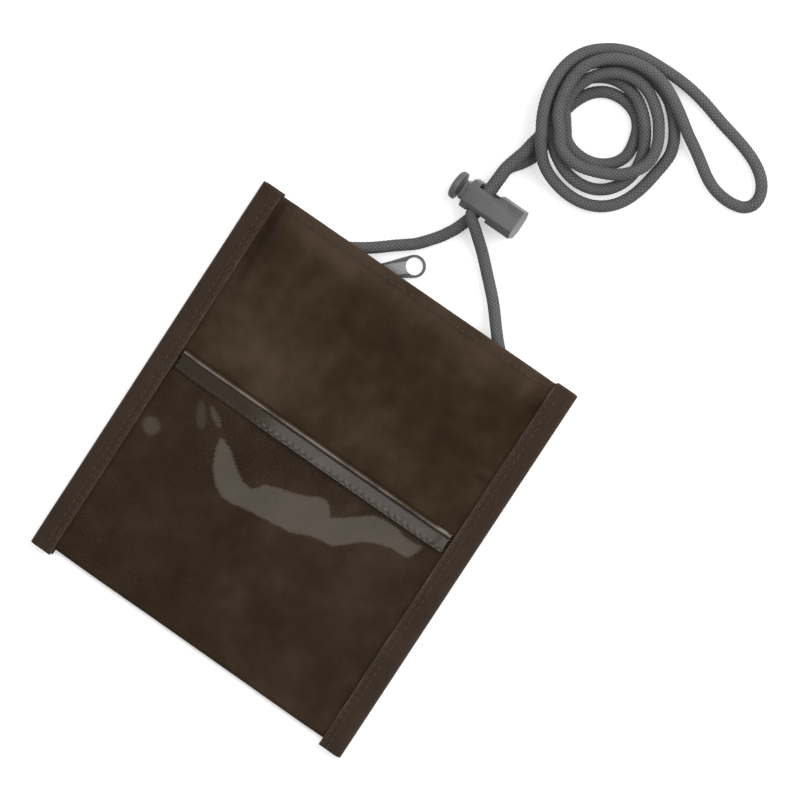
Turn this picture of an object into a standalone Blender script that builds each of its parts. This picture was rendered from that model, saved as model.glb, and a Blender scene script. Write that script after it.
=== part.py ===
"""Neck wallet: a flat fabric travel wallet with a clear window, a zip pocket and a neck cord.

Run with blender --background --python part.py, or from the text editor. Lengths are in
metres. The wallet lies on its back: X runs along its top edge, Y towards its top, Z out of
its front. The origin is on the table, under the middle of the back panel.
"""
import math

import bmesh
import bpy
import numpy as np
from mathutils import Matrix, Vector

# Driving sizes of the pouch
WALLET_WIDTH = 0.127
WALLET_HEIGHT = 0.144
BINDING_WIDTH = 0.0082
BINDING_WALL = 0.0006
FABRIC_THICKNESS = 0.0004
VINYL_THICKNESS = 0.0004
CLEARANCE = 0.0003
TOP_INSET = 0.0005
BOTTOM_INSET = 0.0014
BACK_BELOW_FRONT = 0.0023
CUT_OVERRUN = 0.0010

# How the pouch bulges between its side seams
FLAT_TO_Y = 0.0250
SEAM_TO_CROWN = 0.0070
SEAM_MARGIN = 0.0008
FRONT_RISE_LOW = 0.0027
FRONT_RISE_MID = 0.0034
MOUTH_FULL_Y = 0.0635

# The clear window pocket and its sewn top band
WINDOW_TOP_Y = 0.0099
BAND_DEPTH = 0.0060
PIPING_HEIGHT = 0.0008
PIPING_WIDTH = 0.0016
BOTTOM_TURN = 0.0010

# The zip on the back
ZIP_BELOW_TOP = 0.0110
ZIP_SLOT_WIDTH = 0.0100
ZIP_END_FROM_SEAM = 0.0110
TAPE_OVERLAP = 0.0030
COIL_WIDTH = 0.0016
COIL_HEIGHT = 0.0011
COIL_SPLIT = 0.0010
STOP_LENGTH = 0.0018
SLIDER_LENGTH = 0.0085
SLIDER_PLATE = 0.0005
SLIDER_FLANGE = 0.0006
SLIDER_RUNNING_GAP = 0.00025
POST_LENGTH = 0.0024
POST_WIDTH = 0.0004
BRIDGE_SPAN = 0.0025
BRIDGE_LEG = 0.0005
BRIDGE_WIDTH = 0.0010
BRIDGE_STRAP = 0.0005
SLIDER_X = -0.0240
EDGE_SOFTENING = 0.00015

# The zip pull
PULL_HEADING = math.radians(42.0)
PULL_LENGTH = 0.0244
PULL_THICKNESS = 0.0008
PULL_WEB = 0.0004
PULL_RIM = 0.0008
RING_RADIUS = 0.0038
RING_HOLE_RADIUS = 0.0030
TAB_TAPER = math.radians(6.8)
EYE_HALF_WIDTH = 0.0018
EYE_ARM = 0.0007
EYE_LENGTH = 0.0034
CROSSBAR = 0.0007

# The neck cord and its lock
CORD_DIAMETER = 0.0040
CORD_SEWN_THICKNESS = 0.0008
CORD_SEWN_WIDTH = 0.0050
CORD_SEWN_FROM_SEAM = 0.0031
CORD_FREE_FROM_SEAM = 0.0085
CORD_SEAM_BELOW_TOP = 0.0045
BARREL_LENGTH = 0.0200
BARREL_WIDTH = 0.0102
BARREL_HEIGHT = 0.0120
BARREL_CHAMFER = 0.0026
BARREL_X = -0.0033
BARREL_WALL_TOP = 0.0008
BARREL_WALL_SIDE = 0.0016
BARREL_END_WALL = 0.0012
BARREL_FROM_TOP = 0.0360
LOCK_HOLE_FROM_MOUTH = 0.0032
PLUNGER_TRAVEL = 0.0022
PLUNGER_LAND = 0.0027
PLUNGER_INNER_WALL = 0.0035
NECK_DIAMETER = 0.0056
NECK_LENGTH = 0.0032
HEAD_DIAMETER = 0.0100
HEAD_THICKNESS = 0.0023
SPRING_WIRE = 0.0006
SPRING_DIAMETER = 0.0052
SPRING_TURNS = 5
LOCK_TRAVEL = 0.0080
CORD_SLANT = 0.060

# The wound coil of the doubled cord
COIL_CENTRE = (0.0216, 0.1495)
COIL_START_ANGLE = math.radians(214.0)
POINTS_PER_TURN = 24
COIL_POINT_SPACING = 0.0036
POINT_SPACING = 0.0050
COIL_SELF_GAP = 0.0008

TOP_Y = WALLET_HEIGHT / 2 - TOP_INSET
BOTTOM_Y = -WALLET_HEIGHT / 2 + BOTTOM_INSET
ZIP_Y = TOP_Y - ZIP_BELOW_TOP
CORD_SEAM_Y = TOP_Y - CORD_SEAM_BELOW_TOP
CORD_RADIUS = CORD_DIAMETER / 2

# Seam levels: undersides of back, divider, front and window where the bindings hold them
LAYER_STEP = FABRIC_THICKNESS + CLEARANCE
BACK_SEAM_Z = BINDING_WALL + CLEARANCE
DIVIDER_SEAM_Z = BACK_SEAM_Z + LAYER_STEP
FRONT_SEAM_Z = DIVIDER_SEAM_Z + LAYER_STEP
WINDOW_SEAM_Z = FRONT_SEAM_Z + LAYER_STEP
BINDING_HEIGHT = WINDOW_SEAM_Z + VINYL_THICKNESS + CLEARANCE + BINDING_WALL

# Side seam line, where the sheets leave the bindings, and what is placed from it
SEAM_X = WALLET_WIDTH / 2 - BINDING_WIDTH - SEAM_MARGIN
CROWN_X = SEAM_X - SEAM_TO_CROWN
SHEET_EDGE_X = WALLET_WIDTH / 2 - BINDING_HEIGHT / 2 + CLEARANCE
CORD_SEWN_X = SEAM_X - CORD_SEWN_FROM_SEAM
CORD_FREE_X = SEAM_X - CORD_FREE_FROM_SEAM

# Zip levels, counted up from the table: bridge, plate, channel with tape and coil, plate
BRIDGE_ROOM = CROSSBAR + 2 * CLEARANCE
BRIDGE_HEIGHT = BRIDGE_STRAP + BRIDGE_ROOM
HINGE_Z = CLEARANCE + BRIDGE_STRAP + BRIDGE_ROOM / 2
OUTER_PLATE_Z = CLEARANCE + BRIDGE_HEIGHT
CHANNEL_Z = OUTER_PLATE_Z + SLIDER_PLATE
CHANNEL_HEIGHT = COIL_HEIGHT + 2 * SLIDER_RUNNING_GAP
INNER_PLATE_Z = CHANNEL_Z + CHANNEL_HEIGHT
SLIDER_TOP_Z = INNER_PLATE_Z + SLIDER_PLATE
TRACK_Z = CHANNEL_Z + CHANNEL_HEIGHT / 2
TAPE_Z = TRACK_Z - FABRIC_THICKNESS / 2
BACK_AT_ZIP_Z = TAPE_Z - CLEARANCE - FABRIC_THICKNESS
DIVIDER_AT_ZIP_Z = SLIDER_TOP_Z + CLEARANCE
DIVIDER_AT_TOP_Z = TAPE_Z + LAYER_STEP
COIL_OUTER_Y = COIL_SPLIT / 2 + COIL_WIDTH
TAPE_INNER_Y = COIL_OUTER_Y + CLEARANCE
SLIDER_HALF_WIDTH = TAPE_INNER_Y + SLIDER_RUNNING_GAP + SLIDER_FLANGE
SLOT_HALF_WIDTH = ZIP_SLOT_WIDTH / 2
SLOT_HALF_LENGTH = SEAM_X - ZIP_END_FROM_SEAM
STOP_X = SLOT_HALF_LENGTH - 2 * CLEARANCE - STOP_LENGTH / 2

BACK_TOP_Y = TOP_Y - BACK_BELOW_FRONT
CORD_INSIDE_Z = DIVIDER_AT_TOP_Z + FABRIC_THICKNESS + 3 * CLEARANCE + CORD_RADIUS
MOUTH_LIFT = CORD_INSIDE_Z + CORD_RADIUS + CLEARANCE


def smooth_step(value):
    value = min(max(value, 0.0), 1.0)
    return value * value * (3.0 - 2.0 * value)


def follow(knots, y):
    """Height on a smooth curve through knots, which are (y, z) pairs in rising y."""
    if y <= knots[0][0]:
        return knots[0][1]
    for (y0, z0), (y1, z1) in zip(knots, knots[1:]):
        if y <= y1:
            return z0 + (z1 - z0) * smooth_step((y - y0) / (y1 - y0))
    return knots[-1][1]


def spread(keys, counts):
    """Places along a line: each stretch between two keys is cut into its count of steps."""
    places = [keys[0]]
    for start, end, count in zip(keys, keys[1:], counts):
        places += [start + (end - start) * step / count for step in range(1, count + 1)]
    return places


def crown(x):
    """0 at the side seams and 1 over the middle of the pouch."""
    return smooth_step((SEAM_X - abs(x)) / (SEAM_X - CROWN_X))


BACK_KNOTS = [(FLAT_TO_Y, 0.0), (ZIP_Y - SLOT_HALF_WIDTH, BACK_AT_ZIP_Z)]
DIVIDER_KNOTS = [
    (FLAT_TO_Y, LAYER_STEP),
    (ZIP_Y - SLIDER_HALF_WIDTH - CLEARANCE, DIVIDER_AT_ZIP_Z),
    (ZIP_Y + SLIDER_HALF_WIDTH + CLEARANCE, DIVIDER_AT_ZIP_Z),
    (CORD_SEAM_Y + CLEARANCE, DIVIDER_AT_TOP_Z),
]
FRONT_KNOTS = [
    (BOTTOM_Y, FRONT_RISE_LOW),
    (FLAT_TO_Y, FRONT_RISE_MID),
    (MOUTH_FULL_Y, MOUTH_LIFT),
]


def back_z(x, y):
    return BACK_SEAM_Z + crown(x) * (follow(BACK_KNOTS, y) - BACK_SEAM_Z)


def divider_z(x, y):
    return DIVIDER_SEAM_Z + crown(x) * (follow(DIVIDER_KNOTS, y) - DIVIDER_SEAM_Z)


def front_z(x, y):
    return FRONT_SEAM_Z + crown(x) * (follow(FRONT_KNOTS, y) - FRONT_SEAM_Z)


def window_z(x, y):
    return front_z(x, y) + LAYER_STEP


def empty_scene():
    for thing in list(bpy.data.objects):
        bpy.data.objects.remove(thing, do_unlink=True)
    collections = []
    for name in ("neck_wallet", "cutters"):
        collection = bpy.data.collections.new(name)
        bpy.context.scene.collection.children.link(collection)
        collections.append(collection)
    return collections


PARTS, CUTTERS = empty_scene()


def material(name, colour, roughness, metallic=0.0):
    finish = bpy.data.materials.get(name)
    if finish is None:
        finish = bpy.data.materials.new(name)
        finish.use_nodes = True
        shader = finish.node_tree.nodes["Principled BSDF"]
        shader.inputs["Base Color"].default_value = (*colour, 1.0)
        shader.inputs["Roughness"].default_value = roughness
        shader.inputs["Metallic"].default_value = metallic
    return finish


def place(name, data, finish, collection=None):
    """Link one object that holds the given mesh or curve, with its material."""
    piece = bpy.data.objects.new(name, data)
    (collection or PARTS).objects.link(piece)
    if finish:
        data.materials.append(finish)
    return piece


def mesh_from_bmesh(name, shape):
    data = bpy.data.meshes.new(name)
    bmesh.ops.recalc_face_normals(shape, faces=shape.faces[:])
    shape.to_mesh(data)
    shape.free()
    return data


def hide_operand(piece):
    """A solid that another piece's Boolean uses is kept as a wire guide."""
    piece.hide_render = True
    piece.display_type = "WIRE"
    return piece


def box_piece(name, low, high, finish, collection=None):
    shape = bmesh.new()
    size = [b - a for a, b in zip(low, high)]
    middle = [(a + b) / 2 for a, b in zip(low, high)]
    bmesh.ops.create_cube(shape, size=1.0, matrix=Matrix.Translation(middle) @ Matrix.Diagonal((*size, 1.0)))
    return place(name, mesh_from_bmesh(name, shape), finish, collection)


# Turns a flat outline, drawn as (y, z), into a section across X
ALONG_X = Matrix.Rotation(math.pi / 2, 4, "Z") @ Matrix.Rotation(math.pi / 2, 4, "X")


def flat_shape(name, outlines, thickness, finish, collection=None):
    """A plate of the given thickness: the first outline is its edge, the others are holes."""
    curve = bpy.data.curves.new(name, "CURVE")
    curve.dimensions = "2D"
    curve.fill_mode = "BOTH"
    curve.extrude = thickness / 2
    for outline in outlines:
        spline = curve.splines.new("POLY")
        spline.points.add(len(outline) - 1)
        for point, (x, y) in zip(spline.points, outline):
            point.co = (x, y, 0.0, 1.0)
        spline.use_cyclic_u = True
    return place(name, curve, finish, collection)


def made_mesh(piece):
    """Turn a curve object into a welded mesh object in the same place, so that it can be cut."""
    bpy.context.view_layer.update()
    evaluated = piece.evaluated_get(bpy.context.evaluated_depsgraph_get())
    data = bpy.data.meshes.new_from_object(evaluated)
    shape = bmesh.new()
    shape.from_mesh(data)
    bmesh.ops.remove_doubles(shape, verts=shape.verts[:], dist=CLEARANCE / 100)
    bmesh.ops.recalc_face_normals(shape, faces=shape.faces[:])
    shape.to_mesh(data)
    shape.free()
    name, matrix = piece.name, piece.matrix_world.copy()
    collection = piece.users_collection[0]
    bpy.data.objects.remove(piece, do_unlink=True)
    solid = bpy.data.objects.new(name, data)
    collection.objects.link(solid)
    solid.matrix_world = matrix
    return solid


def boolean(piece, other, operation):
    modifier = piece.modifiers.new(other.name, "BOOLEAN")
    modifier.operation = operation
    modifier.object = hide_operand(other)
    return piece


def soften(piece, width, segments=1):
    bevel = piece.modifiers.new("soft_edges", "BEVEL")
    bevel.width = width
    bevel.segments = segments
    bevel.limit_method = "ANGLE"
    return piece


def arc(centre, radius, start, end, steps):
    """Points on a circle from one angle to another, both ends included."""
    return [
        (
            centre[0] + radius * math.cos(start + (end - start) * step / steps),
            centre[1] + radius * math.sin(start + (end - start) * step / steps),
        )
        for step in range(steps + 1)
    ]


def tube(name, route, radius, finish, resolution):
    """A cord or wire as one POLY spline with filled caps."""
    curve = bpy.data.curves.new(name, "CURVE")
    curve.dimensions = "3D"
    curve.bevel_depth = radius
    curve.bevel_resolution = resolution
    curve.use_fill_caps = True
    spline = curve.splines.new("POLY")
    spline.points.add(len(route) - 1)
    for point, spot in zip(spline.points, route):
        point.co = (*spot, 1.0)
    return place(name, curve, finish)


def curve_through(before, start, end, after, t):
    """A place between start and end on the smooth curve through four neighbours."""
    bend = 2 * before - 5 * start + 4 * end - after
    twist = 3 * start - before - 3 * end + after
    return 0.5 * (2 * start + (end - before) * t + bend * t * t + twist * t * t * t)


def smooth_route(points, step):
    """Places about one step apart on a smooth curve through the given points."""
    points = [Vector(point) for point in points]
    padded = [2 * points[0] - points[1], *points, 2 * points[-1] - points[-2]]
    route = []
    for before, start, end, after in zip(padded, padded[1:], padded[2:], padded[3:]):
        count = max(1, round((end - start).length / step))
        route += [curve_through(before, start, end, after, index / count) for index in range(count)]
    return route + [points[-1]]


# Fabric and vinyl sheets, cut as grids that follow the pouch's bulge

def sheet(name, columns, rows, thickness, finish, slot=None):
    """A fabric sheet. rows holds functions of x that give (y, z); slot gives faces to leave out."""
    shape = bmesh.new()
    grid = [[shape.verts.new((x, *row(x))) for x in columns] for row in rows]
    for upper, lower, row_index in zip(grid[1:], grid, range(len(rows))):
        for column_index in range(len(columns) - 1):
            if slot and slot(row_index, column_index):
                continue
            shape.faces.new(
                (
                    lower[column_index],
                    lower[column_index + 1],
                    upper[column_index + 1],
                    upper[column_index],
                )
            )
    bmesh.ops.delete(shape, geom=[v for v in shape.verts if not v.link_faces], context="VERTS")
    data = bpy.data.meshes.new(name)
    shape.to_mesh(data)
    shape.free()
    piece = place(name, data, finish)
    wall = piece.modifiers.new("wall", "SOLIDIFY")
    wall.thickness = thickness
    wall.offset = 1.0
    return piece


def level_rows(places, height):
    return [lambda x, y=y: (y, height(x, y)) for y in places]


def turned_lip(edge_y, low_z, height):
    """Rows that carry a sheet round the bottom fold, from the lip's lower edge up to the flat."""
    turn = BOTTOM_TURN
    short_of_turn = turn * (1 - math.cos(math.pi / 4))
    return [
        lambda x: (edge_y, low_z),
        lambda x: (edge_y, height(x, edge_y) - turn),
        lambda x: (edge_y + short_of_turn, height(x, edge_y) - short_of_turn),
        lambda x: (edge_y + turn, height(x, edge_y)),
    ]


def mirrored(places):
    return [-place for place in reversed(places[1:])] + places


COLUMNS = mirrored(spread([0.0, SLOT_HALF_LENGTH, CROWN_X, SEAM_X, SHEET_EDGE_X], [4, 1, 4, 1]))
VINYL_OUTER_Y = BOTTOM_Y + VINYL_THICKNESS
FRONT_OUTER_Y = VINYL_OUTER_Y + CLEARANCE + FABRIC_THICKNESS
INNER_BOTTOM_Y = FRONT_OUTER_Y + CLEARANCE
LIP_Z = BACK_SEAM_Z

FABRIC = material("brown_nylon", (0.048, 0.032, 0.022), 0.72)
BINDING = material("brown_binding", (0.040, 0.028, 0.020), 0.78)
VINYL = material("clear_vinyl", (0.085, 0.075, 0.066), 0.18)
ZIP_FABRIC = material("zip_tape", (0.020, 0.018, 0.016), 0.80)
ZIP_PLASTIC = material("zip_coil", (0.025, 0.022, 0.020), 0.40)
ZIP_METAL = material("zip_metal", (0.190, 0.190, 0.190), 0.35, 0.9)
CORD = material("grey_cord", (0.080, 0.080, 0.080), 0.85)
LOCK_PLASTIC = material("grey_plastic", (0.160, 0.160, 0.158), 0.45)
STEEL = material("spring_steel", (0.450, 0.450, 0.440), 0.30, 1.0)


def make_back_panel():
    keys = [INNER_BOTTOM_Y, FLAT_TO_Y, ZIP_Y - SLOT_HALF_WIDTH, ZIP_Y + SLOT_HALF_WIDTH, BACK_TOP_Y]
    counts = [3, 6, 1, 1]
    places = spread(keys, counts)
    slot_row = sum(counts[:2])

    def in_slot(row, column):
        middle = (COLUMNS[column] + COLUMNS[column + 1]) / 2
        return row == slot_row and abs(middle) < SLOT_HALF_LENGTH

    sheet("back_panel", COLUMNS, level_rows(places, back_z), FABRIC_THICKNESS, FABRIC, in_slot)


def make_divider():
    keys = [
        INNER_BOTTOM_Y,
        FLAT_TO_Y,
        ZIP_Y - SLIDER_HALF_WIDTH - CLEARANCE,
        ZIP_Y + SLIDER_HALF_WIDTH + CLEARANCE,
        CORD_SEAM_Y + CLEARANCE,
        BACK_TOP_Y,
    ]
    rows = level_rows(spread(keys, [3, 6, 1, 4, 1]), divider_z)
    sheet("divider_panel", COLUMNS, rows, FABRIC_THICKNESS, FABRIC)


def make_front_panel():
    keys = [FRONT_OUTER_Y + BOTTOM_TURN, FLAT_TO_Y, MOUTH_FULL_Y, TOP_Y]
    rows = turned_lip(FRONT_OUTER_Y, LIP_Z, front_z) + level_rows(spread(keys, [4, 7, 1])[1:], front_z)
    sheet("front_panel", COLUMNS, rows, FABRIC_THICKNESS, FABRIC)


def make_window():
    keys = [VINYL_OUTER_Y + BOTTOM_TURN, WINDOW_TOP_Y]
    rows = turned_lip(VINYL_OUTER_Y, LIP_Z, window_z) + level_rows(spread(keys, [4])[1:], window_z)
    sheet("window_sheet", COLUMNS, rows, VINYL_THICKNESS, VINYL)


def make_window_band():
    """The folded strip that edges the vinyl, with its raised piping along the top."""
    columns = [x for x in COLUMNS if abs(x) <= SEAM_X + CUT_OVERRUN / 100]
    piping_start = WINDOW_TOP_Y + CLEARANCE - PIPING_WIDTH / 2
    profile_shares = [(0.0, 0.0), (0.25, 0.75), (0.5, 1.0), (0.8, 0.7), (1.0, 0.0), (1.1, -0.4)]

    def lifted(y, extra):
        return lambda x: (y, window_z(x, y) + LAYER_STEP + extra)

    bottom = WINDOW_TOP_Y - BAND_DEPTH
    rows = [lifted(bottom + (piping_start - bottom) * step / 2, 0.0) for step in range(2)]
    rows += [lifted(piping_start + PIPING_WIDTH * along, PIPING_HEIGHT * up) for along, up in profile_shares]
    sheet("window_band", columns, rows, VINYL_THICKNESS, BINDING)


def make_bindings():
    """A folded tape over each side seam: a U with a round fold, as long as the wallet."""
    outer = BINDING_HEIGHT / 2
    inner = outer - BINDING_WALL
    flat = BINDING_WIDTH - outer
    fold = arc((flat, outer), outer, -math.pi / 2, math.pi / 2, 6)
    bore = arc((flat, outer), inner, math.pi / 2, -math.pi / 2, 6)
    outside = [(0.0, 0.0), *fold, (0.0, BINDING_HEIGHT)]
    section = [*outside, (0.0, BINDING_HEIGHT - BINDING_WALL), *bore, (0.0, BINDING_WALL)]
    for side, name in ((-1, "binding_left"), (1, "binding_right")):
        inner_edge = side * (WALLET_WIDTH / 2 - BINDING_WIDTH)
        points = [(side * x + inner_edge, z) for x, z in section]
        piece = flat_shape(name, [points], WALLET_HEIGHT, BINDING)
        piece.rotation_euler = (math.pi / 2, 0.0, 0.0)
        made_mesh(piece)


# The zip: two tapes, two rows of coil, end stops, and the slider with its pull

def make_zip_tapes_and_coils():
    for side, word in ((-1, "lower"), (1, "upper")):
        inner = ZIP_Y + side * TAPE_INNER_Y
        outer = ZIP_Y + side * (SLOT_HALF_WIDTH + TAPE_OVERLAP)
        low, high = sorted((inner, outer))
        box_piece(
            "zip_tape_" + word,
            (-SLOT_HALF_LENGTH, low, TAPE_Z),
            (SLOT_HALF_LENGTH, high, TAPE_Z + FABRIC_THICKNESS),
            ZIP_FABRIC,
        )
        low, high = sorted((ZIP_Y + side * COIL_SPLIT / 2, ZIP_Y + side * COIL_OUTER_Y))
        reach = STOP_X - STOP_LENGTH / 2 - CLEARANCE
        coil = box_piece(
            "zip_coil_" + word,
            (-reach, low, TRACK_Z - COIL_HEIGHT / 2),
            (reach, high, TRACK_Z + COIL_HEIGHT / 2),
            ZIP_PLASTIC,
        )
        soften(coil, COIL_HEIGHT / 4)


def make_zip_stops():
    for side, word in ((-1, "left"), (1, "right")):
        middle = side * STOP_X
        stop = box_piece(
            "zip_stop_" + word,
            (middle - STOP_LENGTH / 2, ZIP_Y - COIL_OUTER_Y, TRACK_Z - COIL_HEIGHT / 2),
            (middle + STOP_LENGTH / 2, ZIP_Y + COIL_OUTER_Y, TRACK_Z + COIL_HEIGHT / 2),
            ZIP_METAL,
        )
        soften(stop, EDGE_SOFTENING)


def slider_channel(name, plate_z, side):
    """One plate of the slider with its two flanges, as a channel section run along X."""
    half = SLIDER_HALF_WIDTH
    edge = half - SLIDER_FLANGE
    face = plate_z + (SLIDER_PLATE if side > 0 else 0.0)
    back = plate_z + (0.0 if side > 0 else SLIDER_PLATE)
    lip = TRACK_Z - side * (FABRIC_THICKNESS / 2 + SLIDER_RUNNING_GAP)
    outside = [(-half, lip), (-half, back), (half, back), (half, lip)]
    section = [*outside, (edge, lip), (edge, face), (-edge, face), (-edge, lip)]
    channel = flat_shape(name, [section], SLIDER_LENGTH, ZIP_METAL)
    channel.matrix_world = Matrix.Translation((SLIDER_X, ZIP_Y, 0.0)) @ ALONG_X
    return made_mesh(channel)


def make_slider():
    outer_plate = slider_channel("zip_slider", OUTER_PLATE_Z, 1)
    inner_plate = slider_channel("slider_inner_plate", INNER_PLATE_Z, -1)
    post = box_piece(
        "slider_post",
        (SLIDER_X + SLIDER_LENGTH / 2 - POST_LENGTH, ZIP_Y - POST_WIDTH / 2, CHANNEL_Z - SLIDER_PLATE / 2),
        (SLIDER_X + SLIDER_LENGTH / 2 - CLEARANCE, ZIP_Y + POST_WIDTH / 2, INNER_PLATE_Z + SLIDER_PLATE / 2),
        None,
    )
    half_span = BRIDGE_SPAN / 2
    top = OUTER_PLATE_Z + SLIDER_PLATE / 2
    foot = CLEARANCE
    roof = CLEARANCE + BRIDGE_STRAP
    outside = half_span + BRIDGE_LEG
    chamfer = BRIDGE_STRAP / 2
    left_leg = [(-outside, top), (-outside, foot + chamfer), (-outside + chamfer, foot)]
    right_leg = [(outside - chamfer, foot), (outside, foot + chamfer), (outside, top)]
    under = [(half_span, top), (half_span, roof), (-half_span, roof), (-half_span, top)]
    section = left_leg + right_leg + under
    bridge = flat_shape("slider_bridge", [section], BRIDGE_WIDTH, None)
    bridge.matrix_world = Matrix.Translation((SLIDER_X, ZIP_Y, 0.0)) @ Matrix.Rotation(math.pi / 2, 4, "X")
    bridge = made_mesh(bridge)
    for operand in (inner_plate, post, bridge):
        PARTS.objects.unlink(operand)
        CUTTERS.objects.link(operand)
        boolean(outer_plate, operand, "UNION")


def rectangle(start, end, start_half, end_half):
    """An outline from start to end along the pull, with its half width at each."""
    return [(start, -start_half), (end, -end_half), (end, end_half), (start, start_half)]


def make_pull():
    """The pull: a tapering tab with a rim, a ring at its free end and an eye on the bridge."""
    head_half = EYE_HALF_WIDTH + EYE_ARM
    back = -CROSSBAR / 2
    shoulder = (RING_RADIUS * math.cos(TAB_TAPER) - head_half) / math.tan(TAB_TAPER)
    taper_x = PULL_LENGTH - shoulder + RING_RADIUS * math.sin(TAB_TAPER)
    ring = (PULL_LENGTH, 0.0)
    start = -math.pi / 2 - TAB_TAPER
    ring_edge = arc(ring, RING_RADIUS, start, -start, 16)
    edge = [(back, -head_half), (taper_x, -head_half), *ring_edge, (taper_x, head_half), (back, head_half)]
    eye = rectangle(CROSSBAR / 2, EYE_LENGTH, EYE_HALF_WIDTH, EYE_HALF_WIDTH)
    hole = arc(ring, RING_HOLE_RADIUS, 0.0, 2 * math.pi * 15 / 16, 15)
    inner_half = head_half - PULL_RIM
    web_start = EYE_LENGTH + PULL_RIM
    web_end_half = RING_HOLE_RADIUS * math.sin(math.pi / 4)
    web_end = PULL_LENGTH - RING_HOLE_RADIUS * math.cos(math.pi / 4)
    round_hole = arc(ring, RING_HOLE_RADIUS, -3 * math.pi / 4, 3 * math.pi / 4, 12)
    recess = [(web_start, -inner_half), *round_hole, (web_start, inner_half)]
    tilt = math.asin((HINGE_Z - CLEARANCE - PULL_THICKNESS / 2) / (PULL_LENGTH + RING_RADIUS))
    pose = (
        Matrix.Translation((SLIDER_X, ZIP_Y, HINGE_Z))
        @ Matrix.Rotation(PULL_HEADING, 4, "Z")
        @ Matrix.Rotation(tilt, 4, "Y")
    )
    rim = flat_shape("zip_pull", [edge, eye, recess], PULL_THICKNESS, ZIP_METAL)
    rim.matrix_world = pose
    rim = made_mesh(rim)
    overlap = PULL_RIM / 2
    web_edge = rectangle(web_start - overlap, web_end + overlap, inner_half + overlap, web_end_half + overlap)
    web = flat_shape("pull_web", [web_edge], PULL_WEB, None, CUTTERS)
    web.matrix_world = pose
    web = made_mesh(web)
    cutter_curve = flat_shape("ring_cutter", [hole], 2 * PULL_THICKNESS, None, CUTTERS)
    cutter_curve.matrix_world = pose
    ring_cutter = made_mesh(cutter_curve)
    boolean(web, ring_cutter, "DIFFERENCE")
    boolean(rim, web, "UNION")
    print("pull hinge", tuple(round(value, 6) for value in pose.translation), "tilt", round(math.degrees(tilt), 3))


# The cord lock: barrel, sprung plunger and spring, lying on the table with its axis along X

LOCK_Y = WALLET_HEIGHT / 2 + BARREL_FROM_TOP
LOCK_Z = BARREL_HEIGHT / 2
HOLE_HEIGHT = 2 * CORD_DIAMETER + 3 * CLEARANCE
HOLE_WIDTH = CORD_DIAMETER + 2 * CLEARANCE + PLUNGER_TRAVEL
BARREL_HOLE_X = BARREL_X + LOCK_HOLE_FROM_MOUTH
CORD_LOCK_X = BARREL_HOLE_X + CLEARANCE + CORD_RADIUS
PLUNGER_HOLE_X = BARREL_HOLE_X - PLUNGER_TRAVEL
PLUNGER_X = PLUNGER_HOLE_X - PLUNGER_LAND
PLUNGER_END_X = PLUNGER_HOLE_X + HOLE_WIDTH + PLUNGER_INNER_WALL
BORE_WIDTH = BARREL_WIDTH - 2 * BARREL_WALL_SIDE
BORE_HEIGHT = BARREL_HEIGHT - 2 * BARREL_WALL_TOP


def octagon(half_width, half_height, chamfer):
    points = [(half_width, half_height - chamfer), (half_width - chamfer, half_height)]
    points += [(-x, y) for x, y in reversed(points)]
    return points + [(-x, -y) for x, y in points]


def lock_prism(name, section, start, end, finish, collection=None):
    """A prism along X through the lock's axis, between two places."""
    prism = flat_shape(name, [section], end - start, finish, collection)
    prism.matrix_world = Matrix.Translation(((start + end) / 2, LOCK_Y, LOCK_Z)) @ ALONG_X
    return made_mesh(prism)


def cord_slot(name, start):
    """The cutter of the square hole across the lock that the doubled cord runs through."""
    half = HOLE_HEIGHT / 2
    slant = CORD_SLANT * BARREL_WIDTH / 2
    low = (start - slant, LOCK_Y - BARREL_WIDTH, LOCK_Z - half)
    high = (start + slant + HOLE_WIDTH, LOCK_Y + BARREL_WIDTH, LOCK_Z + half)
    return box_piece(name, low, high, None, CUTTERS)


def make_barrel():
    section = octagon(BARREL_WIDTH / 2, BARREL_HEIGHT / 2, BARREL_CHAMFER)
    barrel = lock_prism("lock_barrel", section, BARREL_X, BARREL_X + BARREL_LENGTH, LOCK_PLASTIC)
    bore_section = octagon(BORE_WIDTH / 2, BORE_HEIGHT / 2, BARREL_CHAMFER / 2)
    bore_end = BARREL_X + BARREL_LENGTH - BARREL_END_WALL
    bore = lock_prism("barrel_bore", bore_section, BARREL_X - CUT_OVERRUN, bore_end, None, CUTTERS)
    boolean(barrel, bore, "DIFFERENCE")
    boolean(barrel, cord_slot("barrel_hole", BARREL_HOLE_X), "DIFFERENCE")


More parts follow.
